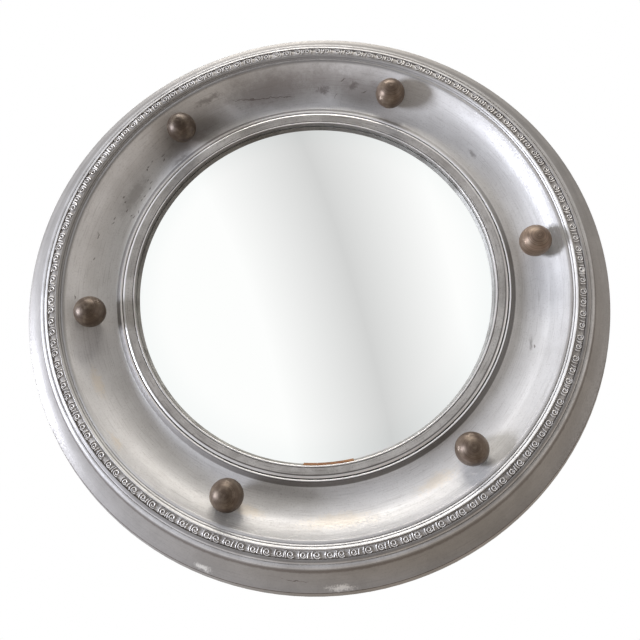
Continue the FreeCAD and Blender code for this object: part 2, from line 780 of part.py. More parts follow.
def hanger_plate():
    """Steel keyhole plate, flush with the back."""
    body = new_body("hanger_plate")
    half = "(hanger_length / 2 - hanger_width / 2)"
    sketch = new_sketch(body, "hanger_outline", "XY_Plane")
    draw_upright_slot(sketch, HANGER_CENTRE + " - " + half, HANGER_CENTRE + " + " + half,
                      "(hanger_width / 2)")
    pad(body, sketch, "hanger_thickness")
    slot = new_sketch(body, "hanger_slot", "XY_Plane")
    draw_upright_slot(slot, ENTRY_CENTRE, SLOT_END, "slot_radius")
    pocket(body, slot)
    entry = new_sketch(body, "hanger_entry", "XY_Plane")
    draw_circle(entry, ("0", ENTRY_CENTRE), "entry_radius")
    pocket(body, entry)
    for name, size, depth in (("hanger_holes", "hanger_screw_radius", None),
                              ("hanger_sinks", "hanger_screw_head", "hanger_screw_head_height")):
        holes = new_sketch(body, name, "XY_Plane")
        for side in ("-", "+"):
            draw_circle(holes, ("0", "%s %s hanger_screw_spacing / 2" % (HANGER_CENTRE, side)),
                        "(%s + seat_gap)" % size)
        pocket(body, holes, depth)
    return body


def flat_screw(name, spot):
    """Small flat-headed screw, let in flush with the hanger."""
    return screw(name, [
        ("0", "0"),
        ("hanger_screw_head", "0"),
        ("hanger_screw_head", "hanger_screw_head_height - seat_gap"),
        ("hanger_screw_radius", "hanger_screw_head_height - seat_gap"),
        ("hanger_screw_radius", "hanger_screw_length - hanger_screw_radius"),
        ("0", "hanger_screw_length"),
    ], "0", "hanger_screw_head", "slot_share * hanger_screw_head_height", spot)


def hanger_screws():
    """Two screws that hold the hanger."""
    spots = [at("(%s %s hanger_screw_spacing / 2)" % (HANGER_CENTRE, side), "90", "0")
             for side in ("-", "+")]
    return copies("hanger_screws", flat_screw, spots)


def wall_pads():
    """Felt pads on the back."""
    body = new_body("wall_pads", turned("pad_first_angle"))
    sketch = new_sketch(body, "pad_circle", "XY_Plane", "-pad_thickness")
    draw_circle(sketch, (PAD_CIRCLE, "0"), "pad_radius")
    repeat_round(body, [pad(body, sketch, "pad_thickness")], "pad_count")
    return body


# ---- the whole mirror ----

back_ring()
flare_ring()
step_moulding()
scroll_band()
bead_moulding()
cove_ring()
slip_ring()
mirror_glass()
cushion_ring()
packing_ring()
shim("short_shim", "short_shim_angle", "short_shim_sweep")
shim("long_shim", "long_shim_angle", "long_shim_sweep")
backboard()
for ball_number in range(1, BALL_COUNT + 1):
    ball(ball_number)
ball_dowels()
for button_number in range(1, int(value("button_count")) + 1):
    turn_button(button_number)
button_screws()
ring_screws()
hanger_plate()
hanger_screws()
wall_pads()
document.recompute()

for item in document.Objects:
    if "Invalid" in item.State or "Error" in item.State:
        raise ValueError(item.Label + " is not sound: " + str(item.State))

os.makedirs("parts", exist_ok=True)
for part in PARTS:
    if part.Shape.isNull() or not part.Shape.isValid():
        raise ValueError(part.Label + " has no valid shape")
    part.Shape.exportStep("parts/%s.step" % part.Label)
    print("%-18s %2d solids  %10.1f mm3" % (part.Label, len(part.Shape.Solids), part.Shape.Volume))
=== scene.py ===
import math
import random

import bpy
from bpy.props import FloatProperty, FloatVectorProperty, IntProperty, PointerProperty
from mathutils import Matrix, Vector


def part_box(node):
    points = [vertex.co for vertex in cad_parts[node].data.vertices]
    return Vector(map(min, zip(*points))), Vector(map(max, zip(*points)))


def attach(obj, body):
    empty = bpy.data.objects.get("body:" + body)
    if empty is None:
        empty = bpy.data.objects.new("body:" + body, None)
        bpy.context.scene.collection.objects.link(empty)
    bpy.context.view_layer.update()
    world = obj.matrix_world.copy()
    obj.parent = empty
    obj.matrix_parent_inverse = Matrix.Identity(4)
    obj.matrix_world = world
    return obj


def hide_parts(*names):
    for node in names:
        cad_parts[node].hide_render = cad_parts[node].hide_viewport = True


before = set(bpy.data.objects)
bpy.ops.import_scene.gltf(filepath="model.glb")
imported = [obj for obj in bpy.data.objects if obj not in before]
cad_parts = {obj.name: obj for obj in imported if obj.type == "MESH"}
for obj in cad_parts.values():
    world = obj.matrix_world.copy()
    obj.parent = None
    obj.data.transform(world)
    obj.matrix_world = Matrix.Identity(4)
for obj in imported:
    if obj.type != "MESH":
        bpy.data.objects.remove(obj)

bl_info = {
    "name": "Convex mirror",
    "version": (1, 0, 0),
    "blender": (4, 5, 0),
    "location": "View3D > Sidebar > Convex Mirror",
    "description": "Round convex mirror in a silvered turned frame with six balls in its hollow",
    "category": "Object",
}

# Every turned outline is written in millimetres of radius and depth. The radius is measured from the
# mirror's axis and the depth forwards from the flat back of the frame, as a turner would write it.
# Angles round the mirror are in degrees, anticlockwise from the right as seen from the front.

MM = 0.001
BOARD_LOW, BOARD_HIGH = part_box("backboard")
AXIS_HEIGHT = (BOARD_LOW.z + BOARD_HIGH.z) / 2
AXIS = Vector((0, 0, AXIS_HEIGHT))
FRAME_BODY = "frame"

TURN_STEPS = 256        # facets round a full ring
ARC_STEP = 0.8          # millimetres between the points of an arc in an outline
ARC_LEAST = 6           # facets in the shortest arc
SOFT_STEPS = 4          # facets in a softened corner
SOFT_SHARE = 0.45       # most of an edge that one softened corner takes
MERGE_GAP = 2e-6        # metres, points nearer than this are one
SMOOTH_ANGLE = math.radians(40)


# ---- sizes and colours ----

def length(name, description, millimetres):
    """A length that the user can change."""
    return FloatProperty(name=name, description=description, default=millimetres * MM,
                         min=0, unit="LENGTH", precision=5)


def colour(code):
    """A colour written as sRGB hex, turned linear."""
    channels = [int(code[place:place + 2], 16) / 255 for place in (0, 2, 4)]
    linear = [c / 12.92 if c <= 0.04045 else ((c + 0.055) / 1.055) ** 2.4 for c in channels]
    return (*linear, 1.0)


def tint(name, description, code):
    """A colour that the user can change."""
    return FloatVectorProperty(name=name, description=description, subtype="COLOR", size=4,
                               min=0, max=1, default=colour(code))


class MirrorFrameSizes(bpy.types.PropertyGroup):
    """Radii and depths of the turned frame."""
    sight_radius: length("Sight radius", "Opening that shows the glass", 187)
    slip_radius: length("Slip radius", "Outside of the slip next to the glass", 200)
    hollow_inner: length("Hollow, inside", "Inner edge of the hollow", 203)
    hollow_outer: length("Hollow, outside", "Outer edge of the hollow", 254.6)
    land_radius: length("Land radius", "Outside of the flat rim round the hollow", 259.3)
    bead_radius: length("Bead radius", "Outside of the plain bead", 262.4)
    band_radius: length("Band radius", "Outside of the scroll band", 270.4)
    shelf_radius: length("Shelf radius", "Outside of the stepped moulding", 280)
    arris_radius: length("Arris radius", "Front edge of the flare's side", 301)
    joint_radius: length("Joint radius", "Outside of the flare at its joint with the back ring", 303.67)
    ledge_radius: length("Ledge radius", "Inside of the ledge behind the hollow", 246)
    joint_depth: length("Joint depth", "Depth of the joint between back ring and flare", 8)
    ledge_depth: length("Ledge depth", "Depth of the ledge behind the hollow", 12)
    arris_depth: length("Arris depth", "Depth of the flare's front edge", 16)
    shelf_depth: length("Shelf depth", "Depth of the shelf under the small mouldings", 33.5)
    land_depth: length("Land depth", "Depth of the flat rim round the hollow", 41)
    slip_seat: length("Slip seat", "Depth of the back of the slip", 15)
    glue_gap: length("Glue gap", "Gap between glued pieces", 0.1)


class MirrorScrollSizes(bpy.types.PropertyGroup):
    """The running scrolls."""
    pairs: IntProperty(name="Pairs", description="Pairs of a large and a small scroll", default=73, min=3)
    large_radius: length("Large scroll", "Radius of the large scroll's outer turn", 3.3)
    small_radius: length("Small scroll", "Radius of the small scroll's outer turn", 2.75)
    stroke: length("Stroke", "Half the width of a raised stroke", 0.68)


class MirrorBallSizes(bpy.types.PropertyGroup):
    """The turned balls."""
    radius: length("Ball radius", "Radius of each ball", 15.9)
    hole_radius: length("Hole radius", "Radius of the dowel hole behind", 4.05)
    hole_depth: length("Hole depth", "How far the hole stops behind the ball's middle", 2.7)


class MirrorGlassSizes(bpy.types.PropertyGroup):
    """The convex glass."""
    radius: length("Glass radius", "Outside of the glass", 193)
    thickness: length("Thickness", "Thickness of the glass", 3)
    curve: length("Curve", "Radius of the convex face", 805)
    sight_depth: length("Sight depth", "Depth of the convex face at the sight edge", 14.5)


class MirrorFastenings(bpy.types.PropertyGroup):
    """Turn buttons on the back."""
    circle: length("Screw circle", "Radius of the circle of the buttons' screws", 228)
    width: length("Button width", "Width of a turn button", 12)
    tail: length("Button tail", "From its screw to its near end", 8)
    reach: length("Button reach", "From its screw to its far end", 24)
    hole: length("Button hole", "Radius of its screw hole", 2.06)


class MirrorFinishes(bpy.types.PropertyGroup):
    """Colours of the finishes."""
    leaf: tint("Silver leaf", "Clean silver leaf", "dddcda")
    patina: tint("Darkened leaf", "Leaf on the flare, gone darker with age", "aeaba7")
    toned: tint("Toned leaf", "Leaf under the toning wash", "9c9893")
    bole: tint("Bole", "Brown ground where leaf is rubbed through", "4a3a30")
    slip: tint("Worn slip", "Worn silver on the slip", "c6c3be")
    ball: tint("Ball", "Bronzed lacquer on the balls", "6b5b4d")
    stain: tint("Stain", "Stained wood of the back", "5b4636")
    board: tint("Hardboard", "Hardboard back", "6d5139")
    felt: tint("Felt", "Wool felt", "3b4a40")
    shim: tint("Bare wood", "Bare wood slivers", "a87a54")
    zinc: tint("Zinc", "Zinc plating", "b4b5b3")


class MirrorStudio(bpy.types.PropertyGroup):
    """Camera and lights."""
    lens: FloatProperty(name="Lens", description="Focal length on a 36 mm sensor", default=36.72, min=1)
    window: FloatProperty(name="Window", description="Power of the window light", default=68,
                          min=0, unit="POWER")
    overhead: FloatProperty(name="Overhead", description="Power of the overhead light", default=45,
                            min=0, unit="POWER")
    bounce: FloatProperty(name="Bounce", description="Power of the light thrown back from the right",
                          default=6.5, min=0, unit="POWER")


# ---- modelling ----

def millimetres(settings, *names):
    """Some of a group's lengths, in millimetres."""
    return [getattr(settings, name) / MM for name in names]


def arc(start, end, radius, side):
    """Points between start and end on the short arc that swells to one side, 1 or -1."""
    chord = end - start
    across = Vector((-chord.y, chord.x)).normalized() * side
    centre = (start + end) / 2 - across * math.sqrt(radius ** 2 - (chord.length / 2) ** 2)
    first, last = start - centre, end - centre
    turn_by = first.angle_signed(last)
    count = max(ARC_LEAST, round(abs(turn_by) * radius / ARC_STEP))
    begin = math.atan2(first.y, first.x)
    return [centre + radius * Vector((math.cos(begin - turn_by * step / count),
                                      math.sin(begin - turn_by * step / count)))
            for step in range(1, count)]


def outline(*corners):
    """Points of a closed outline.

    A corner is (radius, depth, softening); where an arc leads to it, the arc's radius and side follow.
    """
    points = []
    for before, corner in zip(corners[-1:] + corners[:-1], corners):
        start, end = Vector(before[:2]), Vector(corner[:2])
        if len(corner) > 3:
            points += [(spot, 0) for spot in arc(start, end, *corner[3:])]
        points.append((end, corner[2]))
    soft = []
    for index, (spot, ease) in enumerate(points):
        if not ease:
            soft.append(spot)
            continue
        to_before = points[index - 1][0] - spot
        to_after = points[(index + 1) % len(points)][0] - spot
        first = spot + to_before.normalized() * min(ease, to_before.length * SOFT_SHARE)
        last = spot + to_after.normalized() * min(ease, to_after.length * SOFT_SHARE)
        for step in range(SOFT_STEPS + 1):
            part = step / SOFT_STEPS
            soft.append(first * (1 - part) ** 2 + spot * 2 * part * (1 - part) + last * part ** 2)
    return soft


def draw_lines(name, lines):
    """Draw lines of edges by extruding a vertex from point to point, and stay in edit mode."""
    bpy.ops.object.select_all(action="DESELECT")
    for number, line in enumerate(lines):
        if number:
            bpy.ops.mesh.select_all(action="DESELECT")
        bpy.ops.mesh.primitive_plane_add(size=MM, location=line[0], enter_editmode=not number)
        bpy.ops.mesh.merge(type="CENTER")
        for here, there in zip(line, line[1:]):
            bpy.ops.mesh.extrude_region_move(TRANSFORM_OT_translate={"value": there - here})
    piece = bpy.context.object
    piece.name = piece.data.name = name
    bpy.ops.mesh.select_all(action="SELECT")
    bpy.ops.mesh.remove_doubles(threshold=MERGE_GAP)
    return piece


def settle(piece):
    """Leave edit mode with clean outward faces, the place in the mesh and smooth shading."""
    bpy.ops.mesh.select_all(action="SELECT")
    bpy.ops.mesh.remove_doubles(threshold=MERGE_GAP)
    bpy.ops.mesh.normals_make_consistent(inside=False)
    bpy.ops.object.mode_set(mode="OBJECT")
    bpy.ops.object.transform_apply(location=True, rotation=True, scale=True)
    bpy.ops.object.shade_smooth_by_angle(angle=SMOOTH_ANGLE)
    weigh = piece.modifiers.new("even shading", "WEIGHTED_NORMAL")
    weigh.keep_sharp = True
    bpy.ops.object.modifier_apply(modifier=weigh.name)
    if not piece.data.polygons:
        raise RuntimeError(piece.name + " has no faces")
    return piece


def turn(name, points, centre=AXIS, steps=TURN_STEPS):
    """Turn an outline about an axis that runs from the back to the front through the centre."""
    spots = [centre + Vector((spot.x, -spot.y, 0)) * MM for spot in points]
    piece = draw_lines(name, [spots + spots[:1]])
    bpy.ops.mesh.spin(steps=steps, angle=math.tau, center=centre, axis=(0, 1, 0))
    return settle(piece)


def spot_at(radius, angle, depth):
    """A point in metres from a radius and depth in millimetres and an angle in degrees."""
    way = math.radians(angle)
    return AXIS + Vector((radius * math.cos(way), -depth, radius * math.sin(way))) * MM


def copy_of(piece, move):
    """A copy of a piece, with its own mesh, moved by a matrix that then goes into the mesh."""
    bpy.ops.object.select_all(action="DESELECT")
    piece.select_set(True)
    bpy.context.view_layer.objects.active = piece
    bpy.ops.object.duplicate()
    made = bpy.context.object
    made.matrix_world = move @ made.matrix_world
    bpy.ops.object.transform_apply(location=True, rotation=True, scale=True)
    return made


def turn_about_axis(angle):
    """The turn round the mirror's axis by an angle in degrees, anticlockwise from the front."""
    move = Matrix.Translation(AXIS)
    return move @ Matrix.Rotation(-math.radians(angle), 4, "Y") @ move.inverted()


def join(pieces, name):
    """Join pieces into one."""
    bpy.ops.object.select_all(action="DESELECT")
    for piece in pieces:
        piece.select_set(True)
    bpy.context.view_layer.objects.active = pieces[0]
    bpy.ops.object.join()
    joined = bpy.context.object
    joined.name = joined.data.name = name
    return joined


def seat(piece, finish, slot, *nodes, body=FRAME_BODY):
    """Give a piece its finish and body, and say which CAD nodes it stands for; slot is not used."""
    piece.data.materials.clear()
    piece.data.materials.append(finish)
    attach(piece, body)
    if nodes:
        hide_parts(*nodes)


def dress(node, finish):
    """Give a CAD node its finish."""
    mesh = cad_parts[node].data
    mesh.materials.clear()
    mesh.materials.append(finish)


# ---- finishes ----

# Patterns are counted over 100 mm, so a noise with the scale 3 / SPAN has patches about 33 mm across.
SPAN = 100 * MM
THROUGH = 1000          # metres, half the depth of a mark of wear, so that it goes through the piece

# A mix takes its share at socket 0, and two numbers at 2 and 3 or two colours at 6 and 7. A map range
# takes its value at 0, the range that it comes from at 1 and 2, and the range that it goes to at 3 and 4.
COLOURS = {"data_type": "RGBA"}
SMOOTH = {"interpolation_type": "SMOOTHSTEP"}

PAINTED_SHADE_TONE = colour("4f4a46")        # painted shade, laid on the side of a ring where less light falls
PAINTED_HIGHLIGHT_LEAF = colour("efedea")  # painted highlight: leaf lightened where the polished nose and shoulders catch the light
DULLED_LEAF = colour("8c8985")  # leaf gone grey on the flare and the back edge
STAIN_GRAIN = colour("33261c")  # grain of the stained wood
FELT_PITS = colour("222c26")    # between the fibres of the felt
WHITE = colour("ffffff")


def add(tree, kind, inputs=None, take=0, **settings):
    """Add a node with its settings; an input is a value or another node's output. Gives one output."""
    made = tree.nodes.new("ShaderNode" + kind)
    for name, item in settings.items():
        setattr(made, name, item)
    for name, item in (inputs or {}).items():
        if isinstance(item, bpy.types.NodeSocket):
            tree.links.new(item, made.inputs[name])
        else:
            made.inputs[name].default_value = item
    return made.outputs[take] if made.outputs else None


def new_finish(name):
    """An empty material and its node tree."""
    finish = bpy.data.materials.new(name)
    finish.use_nodes = True
    finish.node_tree.nodes.clear()
    return finish, finish.node_tree


def lay(tree, skin, over, pattern, low, high, bottom, top):
    """Lay a colour over the skin, from bottom to top in strength as a pattern goes from low to high."""
    share = add(tree, "MapRange", {0: pattern, 1: low, 2: high, 3: bottom, 4: top}, **SMOOTH)
    return add(tree, "Mix", {0: share, 6: skin, 7: over}, 2, **COLOURS)


def finish_off(tree, skin, rough, height, strength, depth, metal=0.0):
    """End a finish with its colour, roughness and metal, and a relief with a depth in millimetres."""
    bump = add(tree, "Bump", {"Height": height, "Strength": strength, "Distance": depth * MM})
    shader = add(tree, "BsdfPrincipled", {"Base Color": skin, "Metallic": metal, "Roughness": rough,
                                          "Normal": bump})
    add(tree, "OutputMaterial", {"Surface": shader})


def round_the_axis(tree):
    """Place from the mirror's axis, way outwards, and distance out in millimetres."""
    place = add(tree, "Mapping", {"Vector": add(tree, "TexCoord", take="Object"),
                                  "Location": (0, 0, -AXIS_HEIGHT)})
    flat = add(tree, "VectorMath", {0: place, 1: (1, 0, 1)}, operation="MULTIPLY")
    way = add(tree, "VectorMath", {0: flat}, operation="NORMALIZE")
    far = add(tree, "VectorMath", {0: flat}, 1, operation="LENGTH")
    return place, way, add(tree, "Math", {0: far, 1: 1 / MM}, operation="MULTIPLY")


def drawn_round(tree, way, out, stretch):
    """Place for a pattern drawn out round the mirror: a unit is a millimetre out or 1 / stretch radian."""
    along = add(tree, "VectorMath", {0: way, "Scale": stretch}, operation="SCALE")
    outwards = add(tree, "CombineXYZ", {"Y": out})
    return add(tree, "VectorMath", {0: along, 1: outwards}, operation="ADD")


def off_ring(tree, out, radius, half):
    """How far a point is from a ring round the mirror: 0 on it and 1 at half its width."""
    off = add(tree, "Math", {0: out, 1: radius}, operation="SUBTRACT")
    off = add(tree, "Math", {0: off}, operation="ABSOLUTE")
    return add(tree, "Math", {0: off, 1: half}, operation="DIVIDE")


def nearness(tree, place, marks):
    """How near a point is to the nearest of some long marks: 0 in a mark's middle, 1 at its edge.

    A mark is (angle, radius, half length, half width, tilt).
    """
    nearest = None
    for angle, radius, long, wide, tilt in marks:
        spot = spot_at(radius, angle, 0) - AXIS
        own = add(tree, "Mapping", {"Vector": place, "Location": spot,
                                    "Rotation": (0, math.radians(-tilt), 0),
                                    "Scale": (long * MM, THROUGH, wide * MM)}, vector_type="TEXTURE")
        far = add(tree, "VectorMath", {0: own}, 1, operation="LENGTH")
        nearest = far if nearest is None else add(tree, "Math", {0: nearest, 1: far}, operation="MINIMUM")
    return nearest


def silvered(name, leaf, toned, bole, tone=0.5, lines=0.35, rough=(0.42, 0.58), metal=0.3,
             rubbed_and_shaded=(), painted_shade=(), burnish_and_highlight=(), scratches=(), smears=(), hazes=(), patina_and_shade=0, bare=None):
    """Silver leaf over brown bole on turned wood.

    The leaf was laid on a turned ring, polished with an agate and washed with toner. The eye sees a soft
    metal with broad cloudy toning, fine lines left by the turning tool, and brown where edges were worn
    through.

    rubbed_and_shaded, painted_shade and burnish_and_highlight hold rings that start with (radius, half
    width). A rubbed_and_shaded ring adds its strength of brown: wear at edges, and on some rings painted
    shade in a corner or on a slope turned from the light. A painted_shade ring adds its strength and the
    angle of the side that it darkens: painted shade where less light falls. A burnish_and_highlight ring
    is smoother, and its colour is lightened as a painted highlight. scratches holds marks, and smears and
    hazes hold (colour, strength, marks), ragged or soft. patina_and_shade says how dark the carving is in
    its depths: dark patina and painted shade, found by ambient occlusion. bare is (depth, radius, stain,
    grain): behind that depth or inside that radius the wood was stained and never silvered.
    """
    finish, tree = new_finish(name)
    place, way, out = round_the_axis(tree)
    # patches of toner 33 mm across, flecks of 5 mm that fray every edge of wear, and pores in the leaf,
    # which are about 0.3 mm across and are drawn as 1.6 mm because they would not show
    clouds = add(tree, "TexNoise", {"Vector": place, "Scale": 3 / SPAN, "Detail": 6, "Roughness": 0.68})
    ragged = add(tree, "TexNoise", {"Vector": place, "Scale": 21 / SPAN, "Detail": 4, "Roughness": 0.7})
    grain = add(tree, "TexNoise", {"Vector": place, "Scale": 64 / SPAN, "Detail": 3})
    # lines of the turning tool, 1.1 to the millimetre and 30 mm long; real ones are twice as fine
    tooling = add(tree, "TexNoise", {"Vector": drawn_round(tree, way, out, 7), "Scale": 1.1,
                                     "Detail": 4, "Roughness": 0.6})
    skin = lay(tree, leaf, toned, clouds, 0.36, 0.66, 0, tone)
    skin = lay(tree, skin, toned, tooling, 0.5, 0.72, 0, lines)
    skin = lay(tree, skin, toned, grain, 0.52, 0.8, 0, lines)
    # brown rings: wear at edges, and on some rings painted shade in a corner or on a slope turned from the
    # light
    for radius, half, strength in rubbed_and_shaded:
        off = add(tree, "Math", {0: off_ring(tree, out, radius, half), 1: ragged}, operation="ADD")
        skin = lay(tree, skin, bole, off, 0.9, 1.5, strength, 0)
    # painted shade: a ring is darkened on the side of the mirror at its angle, where less light falls
    for radius, half, strength, angle in painted_shade:
        toward = spot_at(1 / MM, angle, 0) - AXIS
        facing = add(tree, "VectorMath", {0: way, 1: toward}, 1, operation="DOT_PRODUCT")
        facing = add(tree, "MapRange", {0: facing, 1: -0.2, 2: 0.7, 3: 0, 4: strength}, **SMOOTH)
        off = off_ring(tree, out, radius, half)
        off = add(tree, "MapRange", {0: off, 1: 0.7, 2: 1.1, 3: 1, 4: 0}, **SMOOTH)
        share = add(tree, "Math", {0: facing, 1: off}, operation="MULTIPLY")
        skin = add(tree, "Mix", {0: share, 6: skin, 7: PAINTED_SHADE_TONE}, 2, **COLOURS)
    # marks waver by up to 3 mm, about once in 6 mm
    waver = add(tree, "TexNoise", {"Vector": place, "Scale": 16 / SPAN, "Detail": 2}, take="Color")
    waver = add(tree, "VectorMath", {0: waver, 1: (0.5, 0.5, 0.5)}, operation="SUBTRACT")
    waver = add(tree, "VectorMath", {0: waver, "Scale": 6 * MM}, operation="SCALE")
    shaken = add(tree, "VectorMath", {0: place, 1: waver}, operation="ADD")
    for stain, strength, marks in hazes:
        near = add(tree, "Math", {0: nearness(tree, place, marks), 1: clouds}, operation="ADD")
        skin = lay(tree, skin, stain, near, 0.7, 1.6, strength, 0)
    for stain, strength, marks in smears:
        frayed = add(tree, "Math", {0: ragged, 1: grain}, operation="ADD")
        near = add(tree, "Math", {0: nearness(tree, shaken, marks), 1: frayed}, operation="ADD")
        skin = lay(tree, skin, stain, near, 1.2, 2.0, strength, 0)
    polish_and_highlight = 0.0
    for radius, half in burnish_and_highlight:
        off = off_ring(tree, out, radius, half)
        off = add(tree, "MapRange", {0: off, 1: 0.6, 2: 1.2, 3: 1, 4: 0}, **SMOOTH)
        polish_and_highlight = add(tree, "Math", {0: off, 1: polish_and_highlight}, operation="MAXIMUM")
    # painted highlight: the colour is lightened on these rings
    skin = add(tree, "Mix", {0: polish_and_highlight, 6: skin, 7: PAINTED_HIGHLIGHT_LEAF}, 2, **COLOURS)
    # dark patina and painted shade in the depths of the carving, found by ambient occlusion
    if patina_and_shade:
        occlusion_share = add(tree, "AmbientOcclusion", {"Distance": 1.3 * MM}, 1, samples=6)
        skin = lay(tree, skin, bole, occlusion_share, 0.25, 0.85, patina_and_shade, 0)
    if scratches:
        near = add(tree, "Math", {0: nearness(tree, shaken, scratches), 1: ragged}, operation="ADD")
        skin = lay(tree, skin, bole, near, 0.9, 1.6, 0.7, 0)
    # polished leaf is smoother and shinier
    relief = add(tree, "Math", {0: tooling, 1: grain}, operation="ADD")
    relief = add(tree, "Mix", {0: polish_and_highlight, 2: relief, 3: 1.0})
    dull = add(tree, "MapRange", {0: grain, 1: 0.3, 2: 0.7, 3: rough[0], 4: rough[1]}, **SMOOTH)
    dull = add(tree, "Mix", {0: polish_and_highlight, 2: dull, 3: 0.3})
    if bare:
        depth, radius, stain, dark = bare
        deep = add(tree, "Math", {0: add(tree, "SeparateXYZ", {"Vector": place}, 1), 1: -1 / MM},
                   operation="MULTIPLY")
        deep = add(tree, "Math", {0: deep, 1: ragged}, operation="ADD")
        behind = add(tree, "MapRange", {0: deep, 1: depth, 2: depth + 1, 3: 1, 4: 0}, **SMOOTH)
        inside = add(tree, "MapRange", {0: out, 1: radius - 1, 2: radius, 3: 1, 4: 0}, **SMOOTH)
        wood = add(tree, "Math", {0: behind, 1: inside}, operation="MAXIMUM")
        grained = lay(tree, stain, dark, tooling, 0.4, 0.65, 0, 0.9)
        skin = add(tree, "Mix", {0: wood, 6: skin, 7: grained}, 2, **COLOURS)
        metal = add(tree, "Mix", {0: wood, 2: metal, 3: 0.0})
    finish_off(tree, skin, dull, relief, 0.25, 0.2, metal)
    return finish


def silvered_glass(edge):
    """Convex glass silvered behind.

    Bent sheet glass with a mirror coat: one clear, sharp reflection, a trace darker in the outer 43 mm.
    """
    finish, tree = new_finish("silvered_glass")
    out = round_the_axis(tree)[2]
    coat = lay(tree, colour("fdfefd"), colour("f6f9f8"), out, edge - 43, edge, 0, 1)
    shader = add(tree, "BsdfPrincipled", {"Base Color": coat, "Metallic": 1.0, "Roughness": 0.0})
    add(tree, "OutputMaterial", {"Surface": shader})
    return finish


def bronzed_ball(shade):
    """Bronzed lacquer on a turned beech ball.

    Turned between centres, sanded on the lathe and lacquered: satin brown with fine dark rings about
    its own axis and paler patches where hands have worn it.
    """
    finish, tree = new_finish("bronzed_ball")
    # each ball carries its own place in millimetres; rings 1.2 mm apart, and patches 8 mm across
    own = add(tree, "Attribute", take="Vector", attribute_name="own_place")
    flat = add(tree, "VectorMath", {0: own, 1: (1, 0, 1)}, operation="MULTIPLY")
    out = add(tree, "VectorMath", {0: flat}, 1, operation="LENGTH")
    deep = add(tree, "SeparateXYZ", {"Vector": own}, 1)
    rings = add(tree, "TexNoise", {"Vector": add(tree, "CombineXYZ", {"X": out, "Y": deep}), "Scale": 0.8,
                                   "Detail": 4})
    spots = add(tree, "TexNoise", {"Vector": add(tree, "TexCoord", take="Object"), "Scale": 13 / SPAN,
                                   "Detail": 5, "Roughness": 0.65})
    skin = lay(tree, shade, colour("3d3229"), rings, 0.4, 0.68, 0, 0.55)
    skin = lay(tree, skin, colour("8f8270"), spots, 0.45, 0.75, 0, 0.5)
    dull = add(tree, "MapRange", {0: spots, 1: 0.3, 2: 0.7, 3: 0.36, 4: 0.5}, **SMOOTH)
    finish_off(tree, skin, dull, rings, 0.3, 0.2, 0.4)
    return finish


def grained_wood(name, shade, dark):
    """Plain wood, cut and left bare: matt, with its grain running round the mirror."""
    finish, tree = new_finish(name)
    place, way, out = round_the_axis(tree)
    # grain 1.1 mm wide and 20 mm long, and patches 33 mm across
    grain = add(tree, "TexNoise", {"Vector": drawn_round(tree, way, out, 14), "Scale": 0.9,
                                   "Detail": 6, "Roughness": 0.65})
    clouds = add(tree, "TexNoise", {"Vector": place, "Scale": 3 / SPAN, "Detail": 3})
    skin = lay(tree, shade, dark, grain, 0.38, 0.66, 0, 0.9)
    skin = lay(tree, skin, dark, clouds, 0.4, 0.7, 0, 0.35)
    dull = add(tree, "MapRange", {0: grain, 1: 0.3, 2: 0.7, 3: 0.52, 4: 0.72}, **SMOOTH)
    finish_off(tree, skin, dull, grain, 0.3, 0.3)
    return finish


def fibrous(name, shade, dark, flecks, rough, relief=0.3):
    """Pressed or matted fibre, such as hardboard, card or felt: matt and flecked.

    The flecks are counted over 100 mm, and are drawn coarser than real fibre so that they show. Clouds
    25 times as wide lie under them.
    """
    finish, tree = new_finish(name)
    place = add(tree, "TexCoord", take="Object")
    fibre = add(tree, "TexNoise", {"Vector": place, "Scale": flecks / SPAN, "Detail": 6, "Roughness": 0.75})
    clouds = add(tree, "TexNoise", {"Vector": place, "Scale": flecks / 25 / SPAN, "Detail": 3})
    skin = lay(tree, shade, dark, fibre, 0.35, 0.7, 0, 0.8)
    skin = lay(tree, skin, dark, clouds, 0.4, 0.7, 0, 0.3)
    dull = add(tree, "MapRange", {0: fibre, 1: 0.3, 2: 0.7, 3: rough - 0.05, 4: rough + 0.05}, **SMOOTH)
    finish_off(tree, skin, dull, fibre, relief, 0.3)
    return finish


def plated(name, shade, dull):
    """Zinc-plated steel: pressed or turned, then plated; a grey metal with a dull bloom in patches."""
    finish, tree = new_finish(name)
    # bloom in patches 4 mm across
    bloom = add(tree, "TexNoise", {"Vector": add(tree, "TexCoord", take="Object"), "Scale": 26 / SPAN,
                                   "Detail": 4, "Roughness": 0.6})
    skin = lay(tree, shade, dull, bloom, 0.4, 0.7, 0, 0.6)
    rough = add(tree, "MapRange", {0: bloom, 1: 0.3, 2: 0.7, 3: 0.28, 4: 0.46}, **SMOOTH)
    finish_off(tree, skin, rough, bloom, 0.12, 0.1, 1.0)
    return finish


# ---- pieces ----

# Each class keeps the fine sizes of its own piece, in millimetres unless a comment says otherwise. The
# third number of a corner is its softening.

